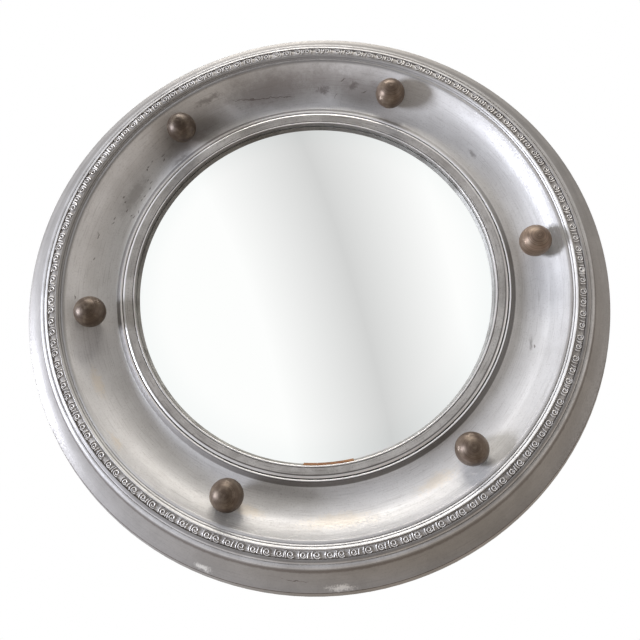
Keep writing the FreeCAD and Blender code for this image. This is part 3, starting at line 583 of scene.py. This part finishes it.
class MIRROR_OT_flare(bpy.types.Operator):
    """Turn the wide flare with its softened front edge"""
    bl_idname = "mirror.flare"
    bl_label = "Flare"

    sweep = 36              # radius of the hollow curve between the shelf and the front edge
    silver_depth = 4.4      # the back ring is silvered in front of this depth
    silver_radius = 296     # and outside this radius

    # Wear of the leaf, each mark as (angle, radius, half length, half width, tilt).
    pale_patches = [(250, 297, 11, 3.5, 160), (275, 297, 16, 4, 5)]
    scratches = [(267, 290, 14, 0.4, 177)]

    def execute(self, context):
        sizes, looks = context.scene.mirror_frame, context.scene.mirror_finishes
        ledge, bore, joint, arris, shelf = millimetres(
            sizes, "ledge_radius", "land_radius", "joint_radius", "arris_radius", "shelf_radius")
        joint_depth, ledge_depth, arris_depth, shelf_depth = millimetres(
            sizes, "joint_depth", "ledge_depth", "arris_depth", "shelf_depth")
        bore += sizes.glue_gap / MM
        piece = turn("flare", outline(
            (ledge, joint_depth, 0.3),
            (joint, joint_depth, 0.4),
            (arris, arris_depth, 0.9),
            (shelf, shelf_depth, 0.2, self.sweep, 1),
            (bore, shelf_depth, 0),
            (bore, ledge_depth, 0),
            (ledge, ledge_depth, 0.3),
        ))
        finish = silvered("toned_silver_leaf", looks.patina, DULLED_LEAF, looks.bole, tone=0.35,
                          # the ring at shelf + 0.8 is painted shade in the corner under the steps
                          rubbed_and_shaded=[(arris, 0.5, 0.85), (shelf + 0.8, 2.6, 0.5)],
                          # painted shade: the flare darkened towards its top
                          painted_shade=[(shelf + 8, 8, 0.3, 100)],
                          smears=[(colour("f6f4ee"), 0.9, self.pale_patches)],
                          scratches=self.scratches)
        seat(piece, finish, "silvered_wood", "flare_ring")
        dress("back_ring", silvered(
            "silvered_back_edge", looks.patina, DULLED_LEAF, looks.bole, tone=0.35,
            bare=(self.silver_depth, self.silver_radius, looks.stain, STAIN_GRAIN)))
        return {"FINISHED"}


class MIRROR_OT_steps(bpy.types.Operator):
    """Turn the stepped moulding outside the scrolls"""
    bl_idname = "mirror.steps"
    bl_label = "Stepped moulding"

    edge = 1.1              # height of the outer edge above the shelf
    low_step = 3.7          # height of the outer step
    high_step = 6.7         # height of the inner step
    swell = 4.6             # radius of each step's rounded slope
    flat = 0.7              # width of the inner step's top
    groove_out = 4.6        # from the inside to the middle of the groove
    groove_half = 0.35      # half the groove's width
    groove_floor = 3.1      # height of the groove's floor

    def execute(self, context):
        sizes, looks = context.scene.mirror_frame, context.scene.mirror_finishes
        band, shelf, foot, gap = millimetres(sizes, "band_radius", "shelf_radius", "shelf_depth", "glue_gap")
        inner = band + gap
        groove = inner + self.groove_out
        piece = turn("stepped_moulding", outline(
            (inner, foot, 0),
            (shelf, foot, 0),
            (shelf, foot + self.edge, 0.3),
            (groove + self.groove_half, foot + self.low_step, 0.15, self.swell, -1),
            (groove, foot + self.groove_floor, 0.1),
            (groove - self.groove_half, foot + self.low_step, 0.15),
            (inner + self.flat, foot + self.high_step, 0.3, self.swell, -1),
            (inner, foot + self.high_step, 0.2),
        ))
        finish = silvered("silver_leaf_steps", looks.leaf, looks.toned, looks.bole, tone=0.4,
                          rubbed_and_shaded=[(groove, 0.25, 0.3), (inner, 0.3, 0.5)],
                          # painted shade: the steps darkened at the top and at the lower right
                          painted_shade=[(shelf - 2, 6, 0.32, 112), (shelf, 1.2, 0.5, 300),
                                 (inner + 1.3, 1.8, 0.6, 290)])
        seat(piece, finish, "silvered_wood", "step_moulding")
        return {"FINISHED"}


class MIRROR_OT_scrolls(bpy.types.Operator):
    """Turn the crowned band and lay the running scrolls on it"""
    bl_idname = "mirror.scrolls"
    bl_label = "Scroll band"

    height = 5.2            # of the band's sides above the shelf
    crown = 12.0            # radius of the band's crown
    shift = 0.25            # how far outside the band's middle the scrolls run
    lift = 0.45             # height of a stroke's middle over the band
    large_eye = 1.0         # radius of the large scroll's last turn
    small_eye = 0.9         # radius of the small scroll's last turn
    seed = 7                # of the small faults in the scrolls' places
    place_play = 0.05       # share of a step by which a pair is out of place
    small_after = 0.51      # share of a step from a large scroll to the small one after it
    small_play = 0.02       # share of a step by which a small scroll is out of place
    taper = 0.3             # share of its width that a stroke loses to its end

    def execute(self, context):
        sizes, looks = context.scene.mirror_frame, context.scene.mirror_finishes
        scrolls = context.scene.mirror_scrolls
        bead, band, foot, gap = millimetres(sizes, "bead_radius", "band_radius", "shelf_depth", "glue_gap")
        inner, side = bead + gap, foot + self.height
        piece = turn("scroll_ground", outline(
            (inner, foot, 0),
            (band, foot, 0),
            (band, side, 0.2),
            (inner, side, 0.2, self.crown, -1),
        ))
        finish = silvered("antiqued_silver_ground", colour("cfccc8"), colour("928d87"), looks.bole,
                          # dark patina and painted shade between the scrolls
                          tone=0.5, rubbed_and_shaded=[(band, 0.4, 0.5)], patina_and_shade=0.8)
        seat(piece, finish, "silvered_ornament", "scroll_band")
        large, small = millimetres(scrolls, "large_radius", "small_radius")
        # a large scroll with a curved bar after it, and a small one between a curved and a slanting bar
        large_scroll = self.relief("large_scroll", scrolls.stroke, inner, band, side, [
            spiral((0, 0), large, self.large_eye, -35, -530, 21),
            spiral((1.25, 0), 6.0, 6.0, 150, 210, 6),
        ])
        small_scroll = self.relief("small_scroll", scrolls.stroke, inner, band, side, [
            spiral((0, 0), small, self.small_eye, -25, -480, 17),
            spiral((0.6, 0), 4.9, 4.9, 148, 212, 5),
            [(3.7, -2.5), (4.0, 0), (4.6, 2.3)],
        ])
        rng = random.Random(self.seed)
        step = 360 / scrolls.pairs
        places = [(number + rng.uniform(-self.place_play, self.place_play)) * step
                  for number in range(scrolls.pairs)]
        made = []
        for place in places:
            made.append(copy_of(large_scroll, turn_about_axis(place)))
            after = step * (self.small_after + rng.uniform(-self.small_play, self.small_play))
            made.append(copy_of(small_scroll, turn_about_axis(place + after)))
        ornament = join([large_scroll, small_scroll] + made, "running_scrolls")
        bpy.ops.object.mode_set(mode="EDIT")
        settle(ornament)
        finish = silvered("silver_leaf_ornament", colour("e6e4e1"), looks.toned, looks.bole, tone=0.35,
                          # dark patina and painted shade at the feet of the strokes
                          patina_and_shade=0.9)
        seat(ornament, finish, "silvered_ornament")
        return {"FINISHED"}

    def relief(self, name, width, inner, outer, side, strokes):
        """Raised strokes, drawn flat and laid on the crowned band at the mirror's right-hand side.

        A stroke's points are in millimetres along the band and inwards from the scrolls' own circle.
        """
        middle, half = (inner + outer) / 2 + self.shift, (outer - inner) / 2
        lines = []
        for stroke in strokes:
            line = []
            for along, inwards in stroke:
                rise = (math.sqrt(self.crown ** 2 - (inwards - self.shift) ** 2)
                        - math.sqrt(self.crown ** 2 - half ** 2))
                line.append(spot_at(middle - inwards, math.degrees(along / middle), side + rise + self.lift))
            lines.append(line)
        piece = draw_lines(name, lines)
        bpy.ops.object.mode_set(mode="OBJECT")
        bpy.ops.object.transform_apply(location=True, rotation=True, scale=True)
        bpy.ops.object.convert(target="CURVE")
        curve = piece.data
        curve.bevel_depth = width
        curve.bevel_resolution = 1
        curve.use_fill_caps = True
        for line in curve.splines:
            for number, point in enumerate(line.points):
                point.radius = 1.0 - self.taper * number / len(line.points)
        bpy.ops.object.convert(target="MESH")
        return bpy.context.object


def spiral(centre, first, last, begin, end, count):
    """Points of a spiral in millimetres, along the band and inwards.

    Its radius goes from first to last while its angle goes from begin to end, in degrees.
    """
    points = []
    for step in range(count + 1):
        part = step / count
        way = math.radians(begin + (end - begin) * part)
        radius = first + (last - first) * part
        points.append((centre[0] + radius * math.cos(way), centre[1] + radius * math.sin(way)))
    return points


class MIRROR_OT_bead(bpy.types.Operator):
    """Turn the plain bead inside the scrolls"""
    bl_idname = "mirror.bead"
    bl_label = "Bead"

    outer_height = 7.0      # of its outer side above the shelf
    crown_height = 7.7      # of its highest line
    crown_in = 0.5          # from its outside to its crown
    inner_height = 4.6      # of its inner side
    swell = 3.4             # radius of its slope towards the hollow

    def execute(self, context):
        sizes, looks = context.scene.mirror_frame, context.scene.mirror_finishes
        land, outer, foot, gap = millimetres(sizes, "land_radius", "bead_radius", "shelf_depth", "glue_gap")
        inner = land + gap
        piece = turn("plain_bead", outline(
            (inner, foot, 0),
            (outer, foot, 0),
            (outer, foot + self.outer_height, 0.2),
            (outer - self.crown_in, foot + self.crown_height, 0.3),
            (inner, foot + self.inner_height, 0.1, self.swell, -1),
        ))
        # the bead's leaf is lighter than the hollow's: a painted highlight for the light that its inward
        # slope catches
        finish = silvered("burnished_silver_bead", colour("ecebe8"), looks.toned, looks.bole, tone=0.3,
                          # painted shade: the bead darkened towards its upper left
                          lines=0.25, rubbed_and_shaded=[(inner, 0.3, 0.5)], painted_shade=[(inner + 1.4, 3, 0.6, 125)])
        seat(piece, finish, "silvered_wood", "bead_moulding")
        return {"FINISHED"}


class MIRROR_OT_hollow(bpy.types.Operator):
    """Turn the wide hollow ring with its grooved rim and rounded nose"""
    bl_idname = "mirror.hollow"
    bl_label = "Hollow"

    back_depth = 5          # depth of the back of the ring
    web_depth = 8           # depth of the step in its back
    web_radius = 213        # outside of that step
    rebate_radius = 194     # outside of the rebate that holds the glass
    rim_edge = 0.3          # width of the rim's chamfered outer edge
    rim_drops = 1.4, 1.2    # how far that edge's outside and inside lie behind the front
    groove_in = 1.9         # from the outside to the middle of the rim's groove
    groove_drops = 2.5, 2.8, 1.9        # its outer side, floor and inner side, behind the front
    groove_sides = 0.25, 0.3            # from its middle to its outer and inner side
    lip_drop, lip_in = 2.6, 0.5         # where the rim meets the hollow, behind the front and inwards
    rim_swell = 3.4         # radius of the rim's slope towards the hollow
    sweep = 40.1            # radius of the hollow
    foot_out, foot_height = 4, 2.6      # the hollow's foot, out from the nose and above the slip's back
    nose_sides = 5.2, 4.6   # heights of the nose's outer and inner side above the slip's back
    nose_swell = 1.587      # radius of the nose
    silver_depth = 9        # the ring is silvered in front of this depth

    # Marks on the leaf, each mark as (angle, radius, half length, half width, tilt): scratches and patches
    # of wear, and patches that make the top of the hollow darker.
    scratches = [
        (137.6, 228.2, 3.7, 0.7, 55), (138.6, 223.4, 2.1, 0.7, 72), (141.1, 231.6, 2.0, 0.7, 64),
        (142.8, 230.3, 2.1, 0.6, 67), (143.8, 228.9, 2.1, 0.7, 84), (146.1, 221.7, 2.1, 0.6, 75),
        (146.3, 216.5, 2.2, 0.7, 69), (148.2, 213.9, 1.9, 0.7, 65), (153.7, 232.9, 2.4, 0.8, 61),
        (154.9, 227.9, 1.9, 0.7, 53), (150.6, 213.3, 2.2, 0.9, 65), (152.3, 213.9, 2.6, 0.9, 44),
        (156.0, 209.9, 1.9, 0.7, 78), (156.8, 222.2, 2.2, 0.8, 75), (160.3, 229.7, 2.6, 0.7, 69),
        (161.9, 229.6, 2.2, 0.9, 58), (158.1, 215.7, 2.0, 0.6, 55), (158.0, 211.3, 2.0, 0.6, 80),
        (166.4, 238.5, 3.4, 0.6, 88), (172.8, 236.0, 2.6, 0.6, 80), (183.8, 246.8, 4.0, 0.6, 94),
        (109.1, 233.7, 19, 0.5, 7), (99.7, 227.8, 19, 0.5, 4), (103.4, 229.7, 36, 0.35, 4),
        (75.7, 234.1, 3.8, 0.5, 29), (82.3, 242.1, 3.3, 0.6, 2), (83.6, 225.3, 4.0, 0.5, 44),
        (341.9, 231.8, 2.6, 0.8, 84),
    ]
    dim_patches = [(100, 232, 85, 32, 10), (126, 226, 66, 28, 36), (76, 232, 50, 26, -14)]
    upper_dark_patches = [(104, 237, 64, 20, 14), (86, 240, 40, 18, -4), (130, 222, 38, 14, 40),
                    (152, 224, 34, 10, 62), (70, 240, 26, 10, -20)]
    worn_patches = [(87.3, 231.4, 10, 6, 0), (79, 238, 7, 5, 10), (40, 226, 8, 3.5, 120),
                    (342.2, 227.7, 11, 2.4, 80), (135, 210, 14, 4, 45), (119, 247, 24, 3, 29)]
    cream_patches = [(276, 238, 46, 9, 6), (300, 233, 30, 8, 30), (255, 236, 22, 7, 165),
                     (221, 250, 16, 3, 131), (206, 240, 22, 6, 116)]

    def execute(self, context):
        sizes, looks = context.scene.mirror_frame, context.scene.mirror_finishes
        slip, inner, outer, land, ledge = millimetres(
            sizes, "slip_radius", "hollow_inner", "hollow_outer", "land_radius", "ledge_radius")
        ledge_depth, front, foot, gap = millimetres(
            sizes, "ledge_depth", "land_depth", "slip_seat", "glue_gap")
        bore, groove = slip + gap, land - self.groove_in
        groove_outside, groove_floor, groove_inside = [front - drop for drop in self.groove_drops]
        piece = turn("hollow", outline(
            (ledge - gap, self.back_depth, 0.3),
            (ledge - gap, ledge_depth, 0),
            (land, ledge_depth, 0),
            (land, front - self.rim_drops[0], 0.15),
            (land - self.rim_edge, front - self.rim_drops[1], 0.15),
            (groove + self.groove_sides[0], groove_outside, 0.1),
            (groove, groove_floor, 0.1),
            (groove - self.groove_sides[1], groove_inside, 0.15),
            (outer - self.lip_in, front - self.lip_drop, 0.2, self.rim_swell, -1),
            (inner + self.foot_out, foot + self.foot_height, 0.4, self.sweep, 1),
            (inner, foot + self.nose_sides[0], 0.3),
            (bore, foot + self.nose_sides[1], 0.15, self.nose_swell, -1),
            (bore, foot, 0),
            (self.rebate_radius, foot, 0),
            (self.rebate_radius, self.web_depth, 0),
            (self.web_radius, self.web_depth, 0),
            (self.web_radius, self.back_depth, 0.3),
        ))
        finish = silvered(
            "burnished_silver_hollow", looks.leaf, looks.toned, looks.bole, tone=0.18,
            # the ring at inner + 2 is painted shade on the slope below the nose
            rubbed_and_shaded=[(groove, 0.25, 0.4), (land, 0.3, 0.4), (bore, 0.3, 0.8), (inner + 2, 2.4, 0.25)],
            # painted shade: the groove, the foot, the nose and the outer hollow each darkened on one side
            painted_shade=[(groove, 4, 0.6, 130), (inner + 1.6, 2.8, 0.75, 310), (inner + 1.4, 2.6, 0.6, 155),
                   (bore + 1.3, 1.7, 0.75, 300), (outer - 6, 9, 0.22, 320)],
            # painted highlight: the nose's crest lightened
            burnish_and_highlight=[(bore + 1.2, 0.7)], scratches=self.scratches,
            bare=(self.silver_depth, 0, looks.stain, STAIN_GRAIN),
            # the hazes and the first smears lay darker patches over the top of the hollow
            hazes=[(colour("6b625a"), 0.66, self.dim_patches)],
            smears=[(colour("6a615b"), 0.4, self.upper_dark_patches), (colour("5a4f4c"), 0.5, self.worn_patches),
                    (colour("d8cbb6"), 0.5, self.cream_patches)])
        seat(piece, finish, "silvered_wood", "cove_ring")
        return {"FINISHED"}


class MIRROR_OT_slip(bpy.types.Operator):
    """Turn the worn slip next to the glass"""
    bl_idname = "mirror.slip"
    bl_label = "Slip"

    outer_height = 3.6      # of its outer side above its back
    shoulder_in, shoulder_height, shoulder_swell = 3.0, 6.4, 3.0    # its rounded shoulder
    quirk_outs = 2.5, 2.1, 1.8          # outside, floor and inside of the quirk, from the sight edge
    quirk_heights = 5.5, 4.4, 5.2       # of the same three above its back
    lip_height, lip_swell = 4.6, 1.2    # the thin lip at the sight edge

    def execute(self, context):
        sizes, looks = context.scene.mirror_frame, context.scene.mirror_finishes
        sight, outer, foot = millimetres(sizes, "sight_radius", "slip_radius", "slip_seat")
        quirk = [(sight + out, foot + height, soft)
                 for out, height, soft in zip(self.quirk_outs, self.quirk_heights, (0.1, 0.1, 0.15))]
        piece = turn("worn_slip", outline(
            (sight, foot, 0.1),
            (outer, foot, 0),
            (outer, foot + self.outer_height, 0.1),
            (outer - self.shoulder_in, foot + self.shoulder_height, 0.2, self.shoulder_swell, -1),
            *quirk,
            (sight, foot + self.lip_height, 0.2, self.lip_swell, -1),
        ))
        finish = silvered("worn_silver_slip", looks.slip, colour("7b7670"), colour("3b3835"), tone=0.5,
                          lines=0.7, rough=(0.4, 0.55), metal=0.4,
                          rubbed_and_shaded=[(sight + 2.15, 0.4, 0.8), (outer, 0.3, 0.7)],
                          # painted shade: the slip's shoulder darkened at the lower right and its lip at the
                          # top
                          painted_shade=[(outer - 1.9, 2.6, 0.9, 290), (sight, 1.2, 0.6, 110)],
                          # painted highlight: the slip's shoulder and lip lightened
                          burnish_and_highlight=[(outer - 1.9, 1.2), (sight + 0.9, 0.6)])
        seat(piece, finish, "worn_silver", "slip_ring")
        wood = grained_wood("bare_pine", looks.shim, colour("6e4327"))
        dress("short_shim", wood)
        dress("long_shim", wood)
        return {"FINISHED"}


class MIRROR_OT_glass(bpy.types.Operator):
    """Turn the convex glass and lay the felt round its edge"""
    bl_idname = "mirror.glass"
    bl_label = "Glass"

    front_steps, back_steps = 60, 24    # facets from the middle to the edge
    chamfer = 0.3           # ground round the glass's edge
    felt_out = 0.5          # how far the felt reaches out past the glass
    felt_in = 1.5           # from the sight edge out to the felt
    felt_gap = 0.05         # between the felt and the glass

    def execute(self, context):
        sizes, looks = context.scene.mirror_frame, context.scene.mirror_finishes
        edge, thick, curve, depth = millimetres(
            context.scene.mirror_glass, "radius", "thickness", "curve", "sight_depth")
        sight, seat_depth = millimetres(sizes, "sight_radius", "slip_seat")
        middle = depth - math.sqrt(curve ** 2 - sight ** 2)

        def face(radius, bend):
            return Vector((radius, middle + math.sqrt(bend ** 2 - radius ** 2)))

        inwards, upwards = Vector((-self.chamfer, 0)), Vector((0, self.chamfer))
        back = [face(edge * step / self.back_steps, curve - thick) for step in range(self.back_steps)]
        back_edge, front_edge = face(edge, curve - thick), face(edge, curve)
        front = [face(edge * step / self.front_steps, curve) for step in range(self.front_steps - 1, -1, -1)]
        piece = turn("convex_glass", back + [back_edge + inwards, back_edge + upwards,
                                             front_edge - upwards, front_edge + inwards] + front)
        seat(piece, silvered_glass(edge), "mirror_glass", "mirror_glass")
        outer, inner, bend = edge + self.felt_out, sight + self.felt_in, curve + self.felt_gap
        ring = turn("felt_ring", outline(
            (inner, face(inner, bend).y, 0.15),
            (outer, face(outer, bend).y, 0.15),
            (outer, seat_depth, 0.1),
            (inner, seat_depth, 0.1),
        ))
        seat(ring, fibrous("wool_felt", looks.felt, FELT_PITS, 90, 0.95, 0.8), "felt", "cushion_ring")
        dress("packing_ring", fibrous("grey_card", colour("a89c88"), colour("8a7e6c"), 50, 0.85))
        return {"FINISHED"}


class MIRROR_OT_balls(bpy.types.Operator):
    """Turn a ball and set a copy of it at each place"""
    bl_idname = "mirror.balls"
    bl_label = "Balls"

    centre_mark = (0, 0.28), (0.5, 0.3), (1.1, 0.16)    # left by the lathe: out, and below the crown
    mark_angle = 0.105      # radians from the crown to the outside of that mark
    tool_mark = 0.035       # half the depth of the rings left by the tool
    tool_wave = 2.4         # radians of those rings' wave from one facet to the next
    facets, facets_round = 56, 72       # from pole to pole and round the ball
    # the lacquer took differently on each ball, so each has its share of the common shade
    depths = 1.7, 1.1, 0.6, 0.75, 0.85, 0.95

    def execute(self, context):
        sizes, looks = context.scene.mirror_balls, context.scene.mirror_finishes
        radius, hole, stop = millimetres(sizes, "radius", "hole_radius", "hole_depth")
        points = [Vector((out, radius - down)) for out, down in self.centre_mark]
        sweep = math.pi - math.asin(hole / radius) - self.mark_angle
        for step in range(self.facets):
            way = self.mark_angle + sweep * step / self.facets
            out = radius - self.tool_mark * (1 + math.sin(step * self.tool_wave)) * math.sin(way)
            points.append(Vector((out * math.sin(way), out * math.cos(way))))
        points.append(Vector((hole, -math.sqrt(radius ** 2 - hole ** 2))))
        points += [Vector((hole, -stop)), Vector((0, -stop))]
        ball = turn("turned_ball", points, centre=Vector((0, 0, 0)), steps=self.facets_round)
        own = ball.data.attributes.new("own_place", "FLOAT_VECTOR", "POINT")
        for number, vertex in enumerate(ball.data.vertices):
            own.data[number].vector = vertex.co / MM
        for number, depth in enumerate(self.depths, 1):
            shade = [min(1, part * depth) for part in looks.ball[:3]]
            low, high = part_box("ball_%d" % number)
            middle = Vector(((low.x + high.x) / 2, low.y + sizes.radius, (low.z + high.z) / 2))
            made = copy_of(ball, Matrix.Translation(middle))
            made.name = made.data.name = "turned_ball_%d" % number
            made.visible_glossy = False     # kept out of the sharp reflection in the glass
            seat(made, bronzed_ball((*shade, 1)), "turned_ball", "ball_%d" % number)
        bpy.data.objects.remove(ball)
        dress("ball_dowels", grained_wood("beech_dowel", colour("c9a377"), colour("a57f55")))
        return {"FINISHED"}


class MIRROR_OT_fastenings(bpy.types.Operator):
    """Dress the back: buttons, screws, hanger, pads and board"""
    bl_idname = "mirror.fastenings"
    bl_label = "Back"

    count = 6               # turn buttons
    bevel = 0.35            # softening of a button's pressed edges
    end_step, hole_step = 9, 15         # degrees between the points of its ends and of its hole

    def execute(self, context):
        looks = context.scene.mirror_finishes
        zinc = plated("zinc_plated_steel", looks.zinc, colour("8d8e8b"))
        for node in ("button_screws", "ring_screws", "hanger_screws", "hanger_plate"):
            dress(node, zinc)
        self.buttons(context.scene.mirror_fastenings, zinc)
        dress("backboard", fibrous("hardboard", looks.board, colour("4c3724"), 70, 0.6))
        dress("wall_pads", fibrous("pad_felt", looks.felt, FELT_PITS, 90, 0.95, 0.8))
        return {"FINISHED"}

    def buttons(self, sizes, finish):
        """Press a turn button with softened edges and set a copy under each screw."""
        circle, width, tail, reach, hole = millimetres(sizes, "circle", "width", "tail", "reach", "hole")
        low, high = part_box("turn_button_1")
        half, front = width / 2, -low.y / MM
        edge = self.bend(circle + tail - half, half, -90, 90, self.end_step, front)
        edge += self.bend(circle - reach + half, half, 90, 270, self.end_step, front)
        mouth = self.bend(circle, hole, 0, 360 - self.hole_step, self.hole_step, front)
        button = draw_lines("turn_button", [edge + edge[:1], mouth + mouth[:1]])
        bpy.ops.mesh.fill(use_beauty=True)
        bpy.ops.mesh.extrude_region_move(TRANSFORM_OT_translate={"value": (0, high.y - low.y, 0)})
        bpy.ops.object.mode_set(mode="OBJECT")
        soft = button.modifiers.new("softened edges", "BEVEL")
        soft.width, soft.segments, soft.limit_method = self.bevel * MM, 2, "ANGLE"
        bpy.ops.object.modifier_apply(modifier=soft.name)
        bpy.ops.object.mode_set(mode="EDIT")
        settle(button)
        for number in range(1, self.count + 1):
            node = "turn_button_%d" % number
            low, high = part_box(node)
            middle = (low + high) / 2 - AXIS
            made = copy_of(button, turn_about_axis(math.degrees(math.atan2(middle.z, middle.x))))
            made.name = made.data.name = "pressed_button_%d" % number
            seat(made, finish, "button_metal", node, body="button_%d" % number)
        bpy.data.objects.remove(button)

    def bend(self, along, radius, begin, end, step, depth):
        """Points of an arc drawn flat at the mirror's right-hand side, its angles in degrees."""
        ways = [math.radians(way) for way in range(begin, end + 1, step)]
        return [AXIS + Vector((along + radius * math.cos(way), -depth, radius * math.sin(way))) * MM
                for way in ways]


# ---- stage ----

class MIRROR_OT_stage(bpy.types.Operator):
    """Set up the floor, the lights, the world and the camera"""
    bl_idname = "mirror.stage"
    bl_label = "Stage"

    # Places and sizes on the stage are in metres. The camera's place and aim were fitted to the
    # outlines of the frame's rings in the photograph. A light has its place, its size and its colour.
    floor_height, floor_radius = -1.3, 2.9
    camera_place, camera_aim = Vector((0.0404, -0.6558, -0.5100)), Vector((0.0064, -0.0040, -0.3165))
    lights = {
        "window": ((-2.27, -0.8, -0.5), (0.36, 0.7), "eef2ff"),
        "overhead": ((-0.2, -0.8, 2.0), (1.8, 0.35), "fdf8f1"),
        "bounce": ((2.2, -1.1, -0.45), (1.0, 1.4), "f4f4f8"),
    }
    across_band = (0.9563, 0.1779, 0.2321)  # way across the grey band that the glass shows
    cool_side = (-0.6, 0.1, 0.79)           # way towards the cooler side of the room, up on the left

    def execute(self, context):
        studio = context.scene.mirror_studio
        bpy.ops.object.select_all(action="DESELECT")
        bpy.ops.mesh.primitive_circle_add(vertices=96, radius=self.floor_radius, fill_type="NGON",
                                          location=(0, 0, self.floor_height))
        floor = context.object
        floor.name = floor.data.name = "pale_floor"
        bpy.ops.object.transform_apply(location=True, rotation=True, scale=True)
        floor.data.materials.append(self.floor_finish())
        floor.visible_diffuse = floor.visible_glossy = False
        for name, (place, size, shade) in self.lights.items():
            self.light(name, Vector(place), size, getattr(studio, name), colour(shade))
        context.scene.world = self.world()
        context.scene.view_settings.view_transform = "Standard"
        look = self.camera_aim - self.camera_place
        bpy.ops.object.camera_add(location=self.camera_place,
                                  rotation=look.to_track_quat("-Z", "Y").to_euler())
        camera = context.object
        camera.data.lens = studio.lens
        camera.data.sensor_width = 36
        context.scene.camera = camera
        return {"FINISHED"}

    def light(self, name, place, size, power, shade):
        """A soft rectangular light that faces the mirror."""
        bpy.ops.object.light_add(type="AREA", location=place,
                                 rotation=(AXIS - place).to_track_quat("-Z", "Y").to_euler())
        lamp = bpy.context.object
        lamp.name = lamp.data.name = name
        lamp.data.shape = "RECTANGLE"
        lamp.data.size, lamp.data.size_y = size
        lamp.data.energy = power
        lamp.data.color = shade[:3]

    def floor_finish(self):
        """Pale matt paper, with flecks 3 mm across, that fades to white towards its edge."""
        finish, tree = new_finish("pale_paper")
        place = add(tree, "TexCoord", take="Object")
        flat = add(tree, "VectorMath", {0: place, 1: (1, 1, 0)}, operation="MULTIPLY")
        far = add(tree, "VectorMath", {0: flat}, 1, operation="LENGTH")
        fleck = add(tree, "TexNoise", {"Vector": place, "Scale": 30 / SPAN, "Detail": 3})
        paper = add(tree, "Mix", {0: fleck, 6: colour("e6e4e1"), 7: colour("efeeec")}, 2, **COLOURS)
        matt = add(tree, "BsdfDiffuse", {"Color": paper})
        bright = add(tree, "Emission", {"Color": WHITE, "Strength": 1.0})
        # only the camera sees white over the paper: half of it near the middle, all of it at 2.6 m
        fade = add(tree, "MapRange", {0: far, 1: 0.8, 2: 2.6, 3: 0.55, 4: 1}, **SMOOTH)
        share = add(tree, "Math", {0: add(tree, "LightPath", take="Is Camera Ray"), 1: fade},
                    operation="MULTIPLY")
        add(tree, "OutputMaterial", {"Surface": add(tree, "MixShader", {0: share, 1: matt, 2: bright})})
        return finish

    def world(self):
        """A pale room, dim straight ahead of the mirror, that the glass sees as white with a grey band."""
        world = bpy.data.worlds.new("white_room")
        world.use_nodes = True
        tree = world.node_tree
        tree.nodes.clear()
        way = add(tree, "TexCoord", take="Generated")
        off = add(tree, "VectorMath", {0: way, 1: self.across_band}, 1, operation="DOT_PRODUCT")
        off = add(tree, "Math", {0: off}, operation="ABSOLUTE")
        band = add(tree, "MapRange", {0: off, 1: 0, 2: 0.38, 3: 0.66, 4: 1})
        side = add(tree, "VectorMath", {0: way, 1: self.cool_side}, 1, operation="DOT_PRODUCT")
        ahead = add(tree, "SeparateXYZ", {"Vector": way}, 1)
        ahead = add(tree, "MapRange", {0: ahead, 1: -1, 2: -0.3, 3: 0.17, 4: 0.5}, **SMOOTH)
        warm = add(tree, "MapRange", {0: side, 1: -1, 2: 0.6, 3: 1.12, 4: 0.88}, **SMOOTH)
        glow = add(tree, "Math", {0: ahead, 1: warm}, operation="MULTIPLY")
        air = lay(tree, colour("fff1e4"), colour("eef2fb"), side, -0.7, 0.5, 0, 1)
        room = add(tree, "Background", {"Color": air, "Strength": glow})
        mirrored = add(tree, "Background", {"Color": WHITE, "Strength": band})
        white = add(tree, "Background", {"Color": WHITE, "Strength": 1.0})
        sharp = add(tree, "LightPath", take="Is Singular Ray")
        eye = add(tree, "LightPath", take="Is Camera Ray")
        both = add(tree, "MixShader", {0: sharp, 1: room, 2: mirrored})
        add(tree, "OutputWorld", {"Surface": add(tree, "MixShader", {0: eye, 1: both, 2: white})})
        return world


class MIRROR_PT_panel(bpy.types.Panel):
    """Lists the steps that build the mirror"""
    bl_idname = "MIRROR_PT_panel"
    bl_label = "Convex Mirror"
    bl_space_type = "VIEW_3D"
    bl_region_type = "UI"
    bl_category = "Convex Mirror"

    def draw(self, context):
        for step in STEPS:
            self.layout.operator(step.bl_idname)


STEPS = (MIRROR_OT_stage, MIRROR_OT_flare, MIRROR_OT_steps, MIRROR_OT_scrolls, MIRROR_OT_bead,
         MIRROR_OT_hollow, MIRROR_OT_slip, MIRROR_OT_glass, MIRROR_OT_balls, MIRROR_OT_fastenings)
GROUPS = {
    "mirror_frame": MirrorFrameSizes,
    "mirror_scrolls": MirrorScrollSizes,
    "mirror_balls": MirrorBallSizes,
    "mirror_glass": MirrorGlassSizes,
    "mirror_fastenings": MirrorFastenings,
    "mirror_finishes": MirrorFinishes,
    "mirror_studio": MirrorStudio,
}


def register():
    """Register the settings, the steps and the panel."""
    for name, group in GROUPS.items():
        bpy.utils.register_class(group)
        setattr(bpy.types.Scene, name, PointerProperty(type=group))
    for step in STEPS + (MIRROR_PT_panel,):
        bpy.utils.register_class(step)


def unregister():
    """Undo register."""
    for step in (MIRROR_PT_panel,) + STEPS[::-1]:
        bpy.utils.unregister_class(step)
    for name, group in GROUPS.items():
        delattr(bpy.types.Scene, name)
        bpy.utils.unregister_class(group)


def main():
    """Build the whole scene."""
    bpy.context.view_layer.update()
    register()
    bpy.ops.mirror.stage()
    bpy.ops.mirror.flare()
    bpy.ops.mirror.steps()
    bpy.ops.mirror.scrolls()
    bpy.ops.mirror.bead()
    bpy.ops.mirror.hollow()
    bpy.ops.mirror.slip()
    bpy.ops.mirror.glass()
    bpy.ops.mirror.balls()
    bpy.ops.mirror.fastenings()


if __name__ == "__main__":
    main()
